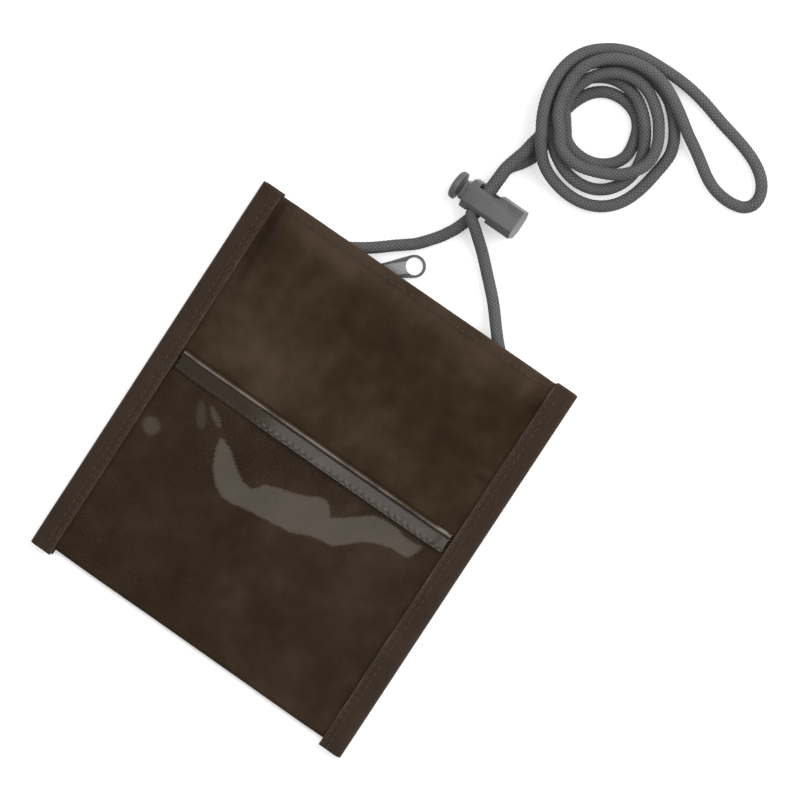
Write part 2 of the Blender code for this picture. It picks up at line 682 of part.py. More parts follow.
def make_plunger():
    """A sliding block with the cord hole, a waisted neck and a round head to press."""
    clear = CLEARANCE
    section = octagon(BORE_WIDTH / 2 - clear, BORE_HEIGHT / 2 - clear, BARREL_CHAMFER / 2)
    plunger = lock_prism("lock_plunger", section, PLUNGER_X, PLUNGER_END_X, LOCK_PLASTIC)
    head_x = BARREL_X - NECK_LENGTH - HEAD_THICKNESS
    shape = bmesh.new()
    neck, head = NECK_DIAMETER / 2, HEAD_DIAMETER / 2
    flare = neck + 0.3 * (head - neck)
    neck_x = head_x + HEAD_THICKNESS
    profile = [
        (PLUNGER_X + PLUNGER_LAND / 2, neck),
        (neck_x + NECK_LENGTH / 2, neck),
        (neck_x + NECK_LENGTH / 8, flare),
        (neck_x, head),
        (head_x + HEAD_THICKNESS / 3, head),
        (head_x, head - HEAD_THICKNESS / 3),
    ]
    steps = 20
    turns = [2 * math.pi * step / steps for step in range(steps)]
    rings = [
        [shape.verts.new((x, LOCK_Y + radius * math.cos(a), LOCK_Z + radius * math.sin(a))) for a in turns]
        for x, radius in profile
    ]
    for near, far in zip(rings, rings[1:]):
        for step in range(steps):
            following = (step + 1) % steps
            shape.faces.new((near[step], near[following], far[following], far[step]))
    shape.faces.new(rings[0][::-1])
    shape.faces.new(rings[-1])
    button = place("plunger_head", mesh_from_bmesh("plunger_head", shape), None, CUTTERS)
    boolean(plunger, button, "UNION")
    boolean(plunger, cord_slot("plunger_hole", PLUNGER_HOLE_X), "DIFFERENCE")


def make_lock_spring():
    start = PLUNGER_END_X + CLEARANCE + SPRING_WIRE / 2
    end = BARREL_X + BARREL_LENGTH - BARREL_END_WALL - CLEARANCE - SPRING_WIRE / 2
    steps = 10 * SPRING_TURNS
    radius = (SPRING_DIAMETER - SPRING_WIRE) / 2
    route = [
        (
            start + (end - start) * step / steps,
            LOCK_Y + radius * math.cos(2 * math.pi * SPRING_TURNS * step / steps),
            LOCK_Z + radius * math.sin(2 * math.pi * SPRING_TURNS * step / steps),
        )
        for step in range(steps + 1)
    ]
    tube("lock_spring", route, SPRING_WIRE / 2, STEEL, 1)


# The neck cord: sewn ends, two free strands through the lock, and the wound coil with its loop

STRAND_OFFSET = (CORD_DIAMETER + CLEARANCE) / 2
LOWER_Z = LOCK_Z - STRAND_OFFSET
UPPER_Z = LOCK_Z + STRAND_OFFSET
TABLE_Z = CORD_RADIUS + CLEARANCE / 6
STRAIGHT_START_Y = LOCK_Y - BARREL_WIDTH / 2 - CLEARANCE
STRAIGHT_END_Y = LOCK_Y + BARREL_WIDTH / 2 + LOCK_TRAVEL + CLEARANCE


def straight_x(y):
    return CORD_LOCK_X + CORD_SLANT * (y - LOCK_Y)


# Hand-chosen places along each free strand, from the mouth of the pocket to the coil
LEFT_ROUTE = [
    (CLEARANCE - CORD_FREE_X, CORD_SEAM_Y, CORD_INSIDE_Z), (-0.0400, CORD_SEAM_Y, CORD_INSIDE_Z),
    (-0.0340, 0.0677, CORD_INSIDE_Z), (-0.0259, 0.0708, 0.0063), (-0.0200, 0.0748, 0.0058),
    (-0.0145, 0.0793, 0.0050), (-0.0084, 0.0843, 0.0036), (-0.0042, 0.0895, 0.0026),
    (-0.0004, 0.0960, 0.0030), (straight_x(STRAIGHT_START_Y), STRAIGHT_START_Y, LOWER_Z),
    (straight_x(LOCK_Y), LOCK_Y, LOWER_Z), (straight_x(STRAIGHT_END_Y), STRAIGHT_END_Y, LOWER_Z),
    (0.0058, 0.1255, 0.0027), (0.0077, 0.1292, TABLE_Z), (0.0083, 0.1331, TABLE_Z),
]
RIGHT_ROUTE = [
    (CORD_FREE_X - CLEARANCE, CORD_SEAM_Y, CORD_INSIDE_Z), (0.0410, CORD_SEAM_Y, CORD_INSIDE_Z),
    (0.0372, 0.0684, CORD_INSIDE_Z), (0.0326, 0.0722, 0.0064), (0.0283, 0.0768, 0.0056),
    (0.0230, 0.0824, 0.0040), (0.0165, 0.0884, 0.0030), (0.0106, 0.0943, 0.0044), (0.0058, 0.0990, 0.0074),
    (straight_x(STRAIGHT_START_Y), STRAIGHT_START_Y, UPPER_Z), (straight_x(LOCK_Y), LOCK_Y, UPPER_Z),
    (straight_x(STRAIGHT_END_Y), STRAIGHT_END_Y, UPPER_Z), (0.0040, 0.1255, 0.0078), (0.0050, 0.1292, 0.0070),
    (0.0056, 0.1331, 0.0064),
]

# Stations of the wound coil: eighths of a turn from its start, radius, and layer above the table
FIRST_STRAND = [
    (0.33, 0.0145, 0), (1, 0.0128, 0), (2, 0.0126, 0), (3, 0.0127, 0), (4, 0.0127, 0), (5, 0.0127, 0),
    (6, 0.0120, 0), (7, 0.0118, 0), (8, 0.0130, 1), (9, 0.0149, 1), (10, 0.0184, 1), (11, 0.0204, 1),
    (12, 0.0204, 0), (13, 0.0190, 1), (14, 0.0142, 1), (15, 0.0140, 1), (16, 0.0134, 2.4), (17, 0.0165, 2),
    (18, 0.0220, 1), (19, 0.0258, 1), (19.82, 0.0264, 1),
]
SECOND_STRAND = [
    (0.33, 0.0190, 1), (1, 0.0185, 0), (2, 0.0175, 0), (3, 0.0158, 0.7), (4, 0.0156, 0.8), (5, 0.0178, 0),
    (6, 0.0203, 0), (7, 0.0182, 0.5), (8, 0.0166, 1.3), (9, 0.0195, 1), (10, 0.0222, 0), (11, 0.0234, 0),
    (12, 0.0239, 0.7), (13, 0.0232, 0), (14, 0.0257, 0), (15, 0.0227, 0), (16, 0.0178, 2.6), (17, 0.0198, 2),
    (17.6, 0.0243, 0.8), (18.1, 0.0256, 0), (18.9, 0.0274, 0),
]

# The loop that is left over, from the first strand's last station round to the second's
LOOP_ROUTE = [
    (0.0446, 0.1653, 0.0050), (0.0504, 0.1621, 0.0032), (0.0555, 0.1587, TABLE_Z),
    (0.0603, 0.1552, TABLE_Z), (0.0652, 0.1533, TABLE_Z), (0.0711, 0.1530, TABLE_Z),
    (0.0764, 0.1542, TABLE_Z), (0.0781, 0.1573, TABLE_Z), (0.0774, 0.1620, TABLE_Z),
    (0.0745, 0.1656, TABLE_Z), (0.0696, 0.1687, TABLE_Z), (0.0617, 0.1713, TABLE_Z),
    (0.0537, 0.1730, TABLE_Z), (0.0471, 0.1750, TABLE_Z), (0.0395, 0.1766, TABLE_Z),
    (0.0310, 0.1772, TABLE_Z),
]
SETTLE_PASSES = 600
SIDEWAYS_SHARE = 0.10
SMOOTHING_SHARE = 0.02


def wound(stations):
    """Places along one wound strand, twice as close together as the finished tube's points."""
    step = 8 / (2 * POINTS_PER_TURN)
    layer = CORD_DIAMETER + COIL_SELF_GAP
    count = round((stations[-1][0] - stations[0][0]) / step)
    places = []
    for index in range(count + 1):
        eighths = stations[0][0] + (stations[-1][0] - stations[0][0]) * index / count
        spot = max(i for i in range(len(stations) - 1) if stations[i][0] <= eighths)
        before, start = stations[max(spot - 1, 0)], stations[spot]
        end, after = stations[spot + 1], stations[min(spot + 2, len(stations) - 1)]
        t = (eighths - start[0]) / (end[0] - start[0])
        radius, level = (curve_through(before[k], start[k], end[k], after[k], t) for k in (1, 2))
        angle = COIL_START_ANGLE - eighths * math.pi / 4
        places.append(
            (
                COIL_CENTRE[0] + radius * math.cos(angle),
                COIL_CENTRE[1] + radius * math.sin(angle),
                TABLE_Z + max(level, 0.0) * layer,
            )
        )
    return places


def even_steps(points, step):
    """Places an even step apart along the straight stretches between the given points."""
    points = [Vector(point) for point in points]
    total = sum((end - start).length for start, end in zip(points, points[1:]))
    count = round(total / step)
    places, travelled, index = [points[0]], 0.0, 0
    for number in range(1, count):
        target = total * number / count
        while travelled + (points[index + 1] - points[index]).length < target:
            travelled += (points[index + 1] - points[index]).length
            index += 1
        share = (target - travelled) / (points[index + 1] - points[index]).length
        places.append(points[index].lerp(points[index + 1], share))
    return places + [points[-1]]


def settle(route, held_start, held_end):
    """Let the turns push one another apart, mostly upwards, until they lie clear of each other."""
    spots = np.array([tuple(point) for point in route])
    lengths = np.linalg.norm(np.diff(spots, axis=0), axis=1)
    along = np.concatenate([[0.0], np.cumsum(lengths)])
    spacing = CORD_DIAMETER + COIL_SELF_GAP
    far_along = np.abs(along[:, None] - along[None, :]) > 3 * CORD_DIAMETER
    weights = np.array([SIDEWAYS_SHARE, SIDEWAYS_SHARE, 1.0])
    smoothing = np.array([SMOOTHING_SHARE, SMOOTHING_SHARE, 1.0]) / 4
    free = np.ones(len(spots), bool)
    free[:held_start] = False
    free[len(spots) - held_end:] = False
    for _ in range(SETTLE_PASSES):
        apart = spots[:, None, :] - spots[None, :, :]
        distance = np.linalg.norm(apart, axis=2) + CLEARANCE / 1000
        short = np.where(far_along & (distance < spacing), spacing - distance, 0.0)
        push = (apart / distance[:, :, None] * short[:, :, None] * weights).sum(axis=1) / 3
        spots[free] += push[free]
        middle = (spots[:-2] + spots[2:]) / 2
        spots[1:-1] += np.where(free[1:-1, None], (middle - spots[1:-1]) * smoothing, 0.0)
        spots[:, 2] = np.where(free, np.maximum(spots[:, 2], TABLE_Z), spots[:, 2])
    return [Vector(spot) for spot in spots]


def lead_in(route):
    """A straight run, one cord diameter long, that carries on from a free strand's end."""
    heading = (Vector(route[-1]) - Vector(route[-2])).normalized()
    start = Vector(route[-1]) + heading * CLEARANCE
    return [start, start + heading * CORD_DIAMETER]


def least_gap(route):
    """The smallest clear distance between turns, measured between all stretches of the tube."""
    points = [Vector(point) for point in route]
    along = [0.0]
    for start, end in zip(points, points[1:]):
        along.append(along[-1] + (end - start).length)
    least = None
    samples = [
        (along[i] + (along[i + 1] - along[i]) * k / 4, points[i].lerp(points[i + 1], k / 4))
        for i in range(len(points) - 1)
        for k in range(4)
    ]
    for index, (travelled, spot) in enumerate(samples):
        for other_travelled, other in samples[index + 1:]:
            if other_travelled - travelled > 3 * CORD_DIAMETER:
                gap = (other - spot).length - CORD_DIAMETER
                least = gap if least is None else min(least, gap)
    return least


def make_cords():
    left = smooth_route(LEFT_ROUTE, POINT_SPACING)
    right = smooth_route(RIGHT_ROUTE, POINT_SPACING)
    tube("cord_left", left, CORD_RADIUS, CORD, 2)
    tube("cord_right", right, CORD_RADIUS, CORD, 2)
    first, second = wound(FIRST_STRAND), wound(SECOND_STRAND)
    loop = smooth_route([first[-1], *LOOP_ROUTE, second[-1]], CORD_RADIUS)
    middle = lead_in(left) + first + loop[1:-1] + second[::-1] + lead_in(right)[::-1]
    fine = COIL_POINT_SPACING / 2
    left_fine, coil_fine, right_fine = (even_steps(run, fine) for run in (left, middle, right[::-1]))
    straight = math.ceil(CORD_DIAMETER / fine) + 1
    whole = settle(left_fine + coil_fine + right_fine, len(left_fine) + straight, len(right_fine) + straight)
    settled = whole[len(left_fine):len(left_fine) + len(coil_fine)]
    thinned = settled[:-1:2] + settled[-1:]
    print("coil least gap to itself", round(least_gap(thinned) * 1000, 3), "mm over", len(thinned), "points")
    total = sum((end - start).length for run in (left, thinned, right) for start, end in zip(run, run[1:]))
    print("cord length", round(total, 4), "m")
    tube("cord_coil", thinned, CORD_RADIUS, CORD, 1)


def make_cord_ends():
    """The cord's ends, pressed flat where they are sewn between the layers by the side seams."""
    steps = 12
    stations = 6
    for side, word in ((-1, "left"), (1, "right")):
        shape = bmesh.new()
        rings = []
        for station in range(stations + 1):
            share = station / stations
            x = side * (CORD_SEWN_X + (CORD_FREE_X - CORD_SEWN_X) * share)
            seam = [divider_z(x, CORD_SEAM_Y + CORD_SEWN_WIDTH * k / 8) for k in range(-4, 5)]
            floor = max(seam) + FABRIC_THICKNESS
            sewn_z = (floor + front_z(x, CORD_SEAM_Y)) / 2
            middle_z = sewn_z + (CORD_INSIDE_Z - sewn_z) * smooth_step(share)
            half_width = (CORD_SEWN_WIDTH + (CORD_DIAMETER - CORD_SEWN_WIDTH) * share) / 2
            half_height = (CORD_SEWN_THICKNESS + (CORD_DIAMETER - CORD_SEWN_THICKNESS) * share) / 2
            rings.append(
                [
                    shape.verts.new(
                        (
                            x,
                            CORD_SEAM_Y + half_width * math.cos(2 * math.pi * step / steps),
                            middle_z + half_height * math.sin(2 * math.pi * step / steps),
                        )
                    )
                    for step in range(steps)
                ]
            )
        for near, far in zip(rings, rings[1:]):
            for step in range(steps):
                following = (step + 1) % steps
                shape.faces.new((near[step], near[following], far[following], far[step]))
        shape.faces.new(rings[0][::-1])
        shape.faces.new(rings[-1])
        place("cord_end_" + word, mesh_from_bmesh("cord_end_" + word, shape), CORD)


make_back_panel()
make_divider()
make_front_panel()
make_window()
make_window_band()
make_bindings()
make_zip_tapes_and_coils()
make_zip_stops()
make_slider()
make_pull()
make_barrel()
make_plunger()
make_lock_spring()
make_cords()
make_cord_ends()
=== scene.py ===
import math

import bmesh
import bpy
import numpy as np
from mathutils import Matrix, Vector
from mathutils.bvhtree import BVHTree


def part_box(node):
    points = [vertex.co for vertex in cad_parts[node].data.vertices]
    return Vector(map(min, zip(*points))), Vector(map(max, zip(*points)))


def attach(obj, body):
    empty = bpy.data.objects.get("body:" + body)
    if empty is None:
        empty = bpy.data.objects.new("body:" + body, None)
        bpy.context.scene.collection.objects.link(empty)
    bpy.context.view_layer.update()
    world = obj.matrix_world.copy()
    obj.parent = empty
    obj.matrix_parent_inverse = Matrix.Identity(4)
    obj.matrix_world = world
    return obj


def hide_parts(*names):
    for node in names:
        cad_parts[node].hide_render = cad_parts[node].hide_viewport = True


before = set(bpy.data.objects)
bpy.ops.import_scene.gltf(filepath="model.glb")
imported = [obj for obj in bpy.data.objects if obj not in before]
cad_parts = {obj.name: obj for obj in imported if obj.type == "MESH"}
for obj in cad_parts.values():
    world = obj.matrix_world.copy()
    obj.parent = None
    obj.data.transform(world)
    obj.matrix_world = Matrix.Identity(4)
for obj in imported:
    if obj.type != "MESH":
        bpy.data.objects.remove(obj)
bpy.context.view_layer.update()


# The camera.
# A long lens looks down on the wallet, turned so that the wallet's X and Y run across the
# picture as they do in the photograph.
PICTURE_SIDE = 800
ORIGIN_PIXEL = (301.5, 469.5)
X_ACROSS_AND_DOWN = (2456.7, 1700.8)
Y_ACROSS_AND_DOWN = (1638.9, -2506.9)
SIGHT_PLANE_Z = 0.003
CAMERA_DISTANCE = 2.6
SENSOR_WIDTH = 36.0


def photo_view():
    """The camera's axes and its scale, from how far the wallet's axes reach in the picture."""
    a = X_ACROSS_AND_DOWN[0] ** 2 + Y_ACROSS_AND_DOWN[0] ** 2
    b = X_ACROSS_AND_DOWN[1] ** 2 + Y_ACROSS_AND_DOWN[1] ** 2
    c = X_ACROSS_AND_DOWN[0] * X_ACROSS_AND_DOWN[1] + Y_ACROSS_AND_DOWN[0] * Y_ACROSS_AND_DOWN[1]
    product = a * b - c * c
    scale = math.sqrt(2 * product / (a + b - math.sqrt((a + b) ** 2 - 4 * product)))
    right = Vector((X_ACROSS_AND_DOWN[0] / scale, Y_ACROSS_AND_DOWN[0] / scale, 0.0))
    right.z = -math.sqrt(1.0 - right.length_squared)
    up = Vector((-X_ACROSS_AND_DOWN[1] / scale, -Y_ACROSS_AND_DOWN[1] / scale, 0.0))
    up.z = -(right.x * up.x + right.y * up.y) / right.z
    up.normalize()
    return right, up, right.cross(up), scale


sight_right, sight_up, sight_back, pixels_per_metre = photo_view()
across = (PICTURE_SIDE / 2 - ORIGIN_PIXEL[0]) / pixels_per_metre
above = (ORIGIN_PIXEL[1] - PICTURE_SIDE / 2) / pixels_per_metre
sight_middle = Vector((0.0, 0.0, SIGHT_PLANE_Z)) + sight_right * across + sight_up * above
camera_data = bpy.data.cameras.new("photo_camera")
camera_data.sensor_width = SENSOR_WIDTH
camera_data.lens = SENSOR_WIDTH * CAMERA_DISTANCE * pixels_per_metre / PICTURE_SIDE
camera_data.clip_end = 10.0
camera = bpy.data.objects.new("photo_camera", camera_data)
bpy.context.scene.collection.objects.link(camera)
camera_turn = Matrix((sight_right, sight_up, sight_back)).transposed().to_4x4()
camera.matrix_world = Matrix.Translation(sight_middle + sight_back * CAMERA_DISTANCE) @ camera_turn
bpy.context.scene.camera = camera
bpy.context.scene.view_settings.view_transform = "Standard"


# The floor and the lamps.
# A pale floor takes the object's shadow. One broad lamp lights from the top right of the
# picture and a weaker one from the left. A wide one overhead and a low one behind the top edge
# are there for shiny plastic and sharp edges to reflect.
FLOOR_SIDE = 6.0
FLOOR_Z = -0.0001
FLOOR_WHITE = (0.86, 0.86, 0.86, 1.0)
FLOOR_GLOW = 0.42
ROOM_STRENGTH = 0.38
LAMPS = {
    "key_lamp": {"direction": (0.42, 0.52, 0.74), "distance": 1.6, "sides": (0.9, 0.9), "power": 15.5},
    "side_lamp": {"direction": (-0.62, 0.28, 0.73), "distance": 1.6, "sides": (0.8, 0.8), "power": 3.0},
    "overhead_lamp": {"direction": (-0.125, 0.10, 0.98), "distance": 1.5, "sides": (1.4, 0.44), "power": 4.3},
    "rim_lamp": {"direction": (0.42, 0.88, 0.22), "distance": 1.6, "sides": (1.2, 0.3), "power": 6.5},
}


class Shade:
    """One output of a node in a material. Sums and products of shades add their Math nodes."""

    def __init__(self, tree, socket=None):
        self.tree = tree
        self.socket = socket

    def node(self, kind, settings=None, inputs=None, output=0):
        """Add a node: its settings come first, then its sockets' values or links."""
        made = self.tree.nodes.new(kind)
        settings = dict(settings or {})
        stops = settings.pop("stops", [])
        for name, value in settings.items():
            setattr(made, name, value)
        for _ in stops[2:]:
            made.color_ramp.elements.new(0.5)
        for element, (position, colour) in zip(made.color_ramp.elements if stops else [], stops):
            element.position = position
            element.color = (*colour, 1.0)
        for name, value in (inputs or {}).items():
            if isinstance(value, Shade):
                self.tree.links.new(value.socket, made.inputs[name])
            else:
                made.inputs[name].default_value = value
        return Shade(self.tree, made.outputs[output])

    def also(self, output):
        """Another output of the same node."""
        return Shade(self.tree, self.socket.node.outputs[output])

    def math(self, operation, *values):
        """A Math node on the given values, in their order."""
        return self.node("ShaderNodeMath", {"operation": operation}, dict(enumerate(values)))

    def __add__(self, other):
        return self.math("ADD", self, other)

    def __radd__(self, other):
        return self.math("ADD", other, self)

    def __sub__(self, other):
        return self.math("SUBTRACT", self, other)

    def __rsub__(self, other):
        return self.math("SUBTRACT", other, self)

    def __mul__(self, other):
        return self.math("MULTIPLY", self, other)

    def __rmul__(self, other):
        return self.math("MULTIPLY", other, self)

    def __abs__(self):
        return self.math("ABSOLUTE", self)

    def wave(self):
        return self.math("COSINE", self)


def new_finish(name):
    """A material with only its shader; returns it, a shade to start nodes from, and the shader."""
    made = bpy.data.materials.new(name)
    made.use_nodes = True
    return made, Shade(made.node_tree), made.node_tree.nodes["Principled BSDF"]


def set_shader(start, shader, **values):
    for name, value in values.items():
        socket = shader.inputs[name.replace("_", " ")]
        if isinstance(value, Shade):
            start.tree.links.new(value.socket, socket)
        else:
            socket.default_value = value


def new_piece(name, points, faces, finish, smooth=True):
    """A mesh object at the origin, with its place in its mesh."""
    data = bpy.data.meshes.new(name)
    data.from_pydata([tuple(point) for point in points], [], faces)
    data.materials.append(finish)
    if smooth:
        data.shade_smooth()
    piece = bpy.data.objects.new(name, data)
    bpy.context.scene.collection.objects.link(piece)
    return piece


floor_finish, start, shader = new_finish("pale_floor")
seen = start.node("ShaderNodeLightPath", output="Is Camera Ray")
shown = seen.math("MAXIMUM", seen, seen.also("Is Glossy Ray"))
shown = shown.math("MAXIMUM", shown, seen.also("Is Transmission Ray"))
set_shader(start, shader, Base_Color=FLOOR_WHITE, Roughness=0.9, Emission_Color=(1.0, 1.0, 1.0, 1.0))
set_shader(start, shader, Specular_IOR_Level=0.0, Emission_Strength=shown * FLOOR_GLOW)
half_floor = FLOOR_SIDE / 2
floor_corners = [(-half_floor, -half_floor, FLOOR_Z), (half_floor, -half_floor, FLOOR_Z)]
floor_corners += [(half_floor, half_floor, FLOOR_Z), (-half_floor, half_floor, FLOOR_Z)]
new_piece("floor", floor_corners, [(0, 1, 2, 3)], floor_finish, smooth=False)

studio = bpy.data.worlds.new("studio")
studio.use_nodes = True
studio.node_tree.nodes["Background"].inputs["Color"].default_value = (1.0, 1.0, 1.0, 1.0)
studio.node_tree.nodes["Background"].inputs["Strength"].default_value = ROOM_STRENGTH
bpy.context.scene.world = studio

for name, facts in LAMPS.items():
    lamp_data = bpy.data.lights.new(name, "AREA")
    lamp_data.shape = "RECTANGLE"
    lamp_data.size, lamp_data.size_y = facts["sides"]
    lamp_data.energy = facts["power"]
    lamp = bpy.data.objects.new(name, lamp_data)
    bpy.context.scene.collection.objects.link(lamp)
    aim = Vector(facts["direction"]).normalized()
    level = (Vector((1.0, 0.0, 0.0)) - aim * aim.x).normalized()
    lamp_turn = Matrix((level, aim.cross(level), aim)).transposed().to_4x4()
    lamp.matrix_world = Matrix.Translation(aim * facts["distance"]) @ lamp_turn


# The neck cord.
# One length of limp round braid, 4 mm thick, with both ends sewn flat into the side seams.
# It runs doubled through the lock and is wound by hand into two and a half turns and a loop.
CORD_DIAMETER = 0.0040
CORD_RADIUS = CORD_DIAMETER / 2
GAP = 0.0003
CORD_SEAM_Y = 0.0670
CORD_INSIDE_Z = 0.0072
CORD_FREE_X = 0.0460
CORD_LOCK_X = 0.0022
CORD_SLANT = 0.060
LOWER_Z = 0.00385
UPPER_Z = 0.00815
CORD_LOW_Z = CORD_RADIUS + GAP / 6
LOCK_Y = 0.1080
STRAIGHT_START_Y = 0.1026
STRAIGHT_END_Y = 0.1214


def straight_x(y):
    return CORD_LOCK_X + CORD_SLANT * (y - LOCK_Y)


LEFT_ROUTE = [
    (GAP - CORD_FREE_X, CORD_SEAM_Y, CORD_INSIDE_Z), (-0.0400, CORD_SEAM_Y, CORD_INSIDE_Z),
    (-0.0340, 0.0677, CORD_INSIDE_Z), (-0.0259, 0.0708, 0.0063), (-0.0200, 0.0748, 0.0058),
    (-0.0145, 0.0793, 0.0050), (-0.0084, 0.0843, 0.0036), (-0.0042, 0.0895, 0.0026),
    (-0.0004, 0.0960, 0.0030), (straight_x(STRAIGHT_START_Y), STRAIGHT_START_Y, LOWER_Z),
    (straight_x(LOCK_Y), LOCK_Y, LOWER_Z), (straight_x(STRAIGHT_END_Y), STRAIGHT_END_Y, LOWER_Z),
    (0.0058, 0.1255, 0.0027), (0.0077, 0.1292, CORD_LOW_Z), (0.0083, 0.1331, CORD_LOW_Z),
]
RIGHT_ROUTE = [
    (CORD_FREE_X - GAP, CORD_SEAM_Y, CORD_INSIDE_Z), (0.0410, CORD_SEAM_Y, CORD_INSIDE_Z),
    (0.0372, 0.0684, CORD_INSIDE_Z), (0.0326, 0.0722, 0.0064), (0.0283, 0.0768, 0.0056),
    (0.0230, 0.0824, 0.0040), (0.0165, 0.0884, 0.0030), (0.0106, 0.0943, 0.0044),
    (0.0058, 0.0990, 0.0074), (straight_x(STRAIGHT_START_Y), STRAIGHT_START_Y, UPPER_Z),
    (straight_x(LOCK_Y), LOCK_Y, UPPER_Z), (straight_x(STRAIGHT_END_Y), STRAIGHT_END_Y, UPPER_Z),
    (0.0040, 0.1255, 0.0078), (0.0050, 0.1292, 0.0070), (0.0056, 0.1331, 0.0064),
]

# The coil's stations: eighths of a turn from its start, radius, and layer above the table
COIL_CENTRE = (0.0216, 0.1495)
COIL_START_ANGLE = math.radians(214.0)
STEPS_PER_TURN = 48
COIL_SPACING = CORD_DIAMETER + 0.0008
FIRST_STRAND = [
    (0.33, 0.0145, 0), (1, 0.0128, 0), (2, 0.0126, 0), (3, 0.0127, 0), (4, 0.0127, 0), (5, 0.0127, 0),
    (6, 0.0120, 0), (7, 0.0118, 0), (8, 0.0130, 1), (9, 0.0149, 1), (10, 0.0184, 1), (11, 0.0204, 1),
    (12, 0.0204, 0), (13, 0.0190, 1), (14, 0.0142, 1), (15, 0.0140, 1), (16, 0.0134, 2.4),
    (17, 0.0165, 2), (18, 0.0220, 1), (19, 0.0258, 1), (19.82, 0.0264, 1),
]
SECOND_STRAND = [
    (0.33, 0.0190, 1), (1, 0.0185, 0), (2, 0.0175, 0), (3, 0.0158, 0.7), (4, 0.0156, 0.8),
    (5, 0.0178, 0), (6, 0.0203, 0), (7, 0.0182, 0.5), (8, 0.0166, 1.3), (9, 0.0195, 1),
    (10, 0.0222, 0), (11, 0.0234, 0), (12, 0.0239, 0.7), (13, 0.0232, 0), (14, 0.0257, 0),
    (15, 0.0227, 0), (16, 0.0178, 2.6), (17, 0.0198, 2), (17.6, 0.0243, 0.8), (18.1, 0.0256, 0),
    (18.9, 0.0274, 0),
]
LOOP_ON_TABLE = [
    (0.0555, 0.1587), (0.0603, 0.1552), (0.0652, 0.1533), (0.0711, 0.1530), (0.0764, 0.1542),
    (0.0781, 0.1573), (0.0774, 0.1620), (0.0745, 0.1656), (0.0696, 0.1687), (0.0617, 0.1713),
    (0.0537, 0.1730), (0.0471, 0.1750), (0.0395, 0.1766), (0.0310, 0.1772),
]
LOOP_ROUTE = [(0.0446, 0.1653, 0.0050), (0.0504, 0.1621, 0.0032)]
LOOP_ROUTE += [(*place, CORD_LOW_Z) for place in LOOP_ON_TABLE]
SETTLE_PASSES = 600
SIDEWAYS_SHARE = 0.10
SMOOTHING_SHARE = 0.02
FREE_STEP = 0.0050
COIL_STEP = 0.0018
RING_STEP = 0.00030
RING_SIDES = 32
BRAID_COLUMNS = 8
BRAID_PITCH = 0.00140
BRAID_RELIEF = 0.00007
FLAT_LENGTH = 0.0054
FLAT_WIDTH_SHARE = 1.25
FLAT_HEIGHT_SHARE = 0.20
# Greys of the braid: the darker end carries the painted shade where the picks dive under.
CORD_TONES = [
    (0.05, (0.036, 0.036, 0.037)),
    (0.36, (0.072, 0.072, 0.073)),
    (0.72, (0.104, 0.104, 0.104)),
    (1.00, (0.132, 0.132, 0.131)),
]


def curve_through(before, start, end, after, t):
    """A place between start and end on the smooth curve through four neighbours."""
    bend = 2 * before - 5 * start + 4 * end - after
    twist = 3 * start - before - 3 * end + after
    return 0.5 * (2 * start + (end - before) * t + bend * t * t + twist * t * t * t)


def smooth_route(points, step):
    """Places about one step apart on a smooth curve through the given points."""
    points = [Vector(point) for point in points]
    padded = [2 * points[0] - points[1], *points, 2 * points[-1] - points[-2]]
    route = []
    for before, start, end, after in zip(padded, padded[1:], padded[2:], padded[3:]):
        count = max(1, round((end - start).length / step))
        route += [curve_through(before, start, end, after, index / count) for index in range(count)]
    return route + [points[-1]]


def distance_along(points):
    return np.concatenate([[0.0], np.cumsum(np.linalg.norm(np.diff(points, axis=0), axis=1))])


def even_steps(points, step):
    """Places an even step apart along the straight stretches between the given points."""
    points = np.array([tuple(point) for point in points])
    along = distance_along(points)
    targets = np.linspace(0.0, along[-1], round(along[-1] / step) + 1)
    return list(np.stack([np.interp(targets, along, points[:, axis]) for axis in range(3)], axis=1))


def wound(stations):
    """Places along one wound strand of the coil."""
    count = round((stations[-1][0] - stations[0][0]) * STEPS_PER_TURN / 8)
    places = []
    for index in range(count + 1):
        eighths = stations[0][0] + (stations[-1][0] - stations[0][0]) * index / count
        spot = max(i for i in range(len(stations) - 1) if stations[i][0] <= eighths)
        before, start = stations[max(spot - 1, 0)], stations[spot]
        end, after = stations[spot + 1], stations[min(spot + 2, len(stations) - 1)]
        t = (eighths - start[0]) / (end[0] - start[0])
        radius, level = (curve_through(before[k], start[k], end[k], after[k], t) for k in (1, 2))
        angle = COIL_START_ANGLE - eighths * math.pi / 4
        x = COIL_CENTRE[0] + radius * math.cos(angle)
        y = COIL_CENTRE[1] + radius * math.sin(angle)
        places.append((x, y, CORD_LOW_Z + max(level, 0.0) * COIL_SPACING))
    return places


def settle(route, held_start, held_end):
    """Let the turns push one another apart, mostly upwards, until they lie clear of each other."""
    spots = np.array(route)
    along = distance_along(spots)
    far_along = np.abs(along[:, None] - along[None, :]) > 3 * CORD_DIAMETER
    weights = np.array([SIDEWAYS_SHARE, SIDEWAYS_SHARE, 1.0])
    smoothing = np.array([SMOOTHING_SHARE, SMOOTHING_SHARE, 1.0]) / 4
    free = np.ones(len(spots), bool)
    free[:held_start] = False
    free[len(spots) - held_end:] = False
    for _ in range(SETTLE_PASSES):
        apart = spots[:, None, :] - spots[None, :, :]
        distance = np.linalg.norm(apart, axis=2) + GAP / 1000
        short = np.where(far_along & (distance < COIL_SPACING), COIL_SPACING - distance, 0.0)
        push = (apart / distance[:, :, None] * short[:, :, None] * weights).sum(axis=1) / 3
        spots[free] += push[free]
        middle = (spots[:-2] + spots[2:]) / 2
        spots[1:-1] += np.where(free[1:-1, None], (middle - spots[1:-1]) * smoothing, 0.0)
        spots[:, 2] = np.where(free, np.maximum(spots[:, 2], CORD_LOW_Z), spots[:, 2])
    return spots


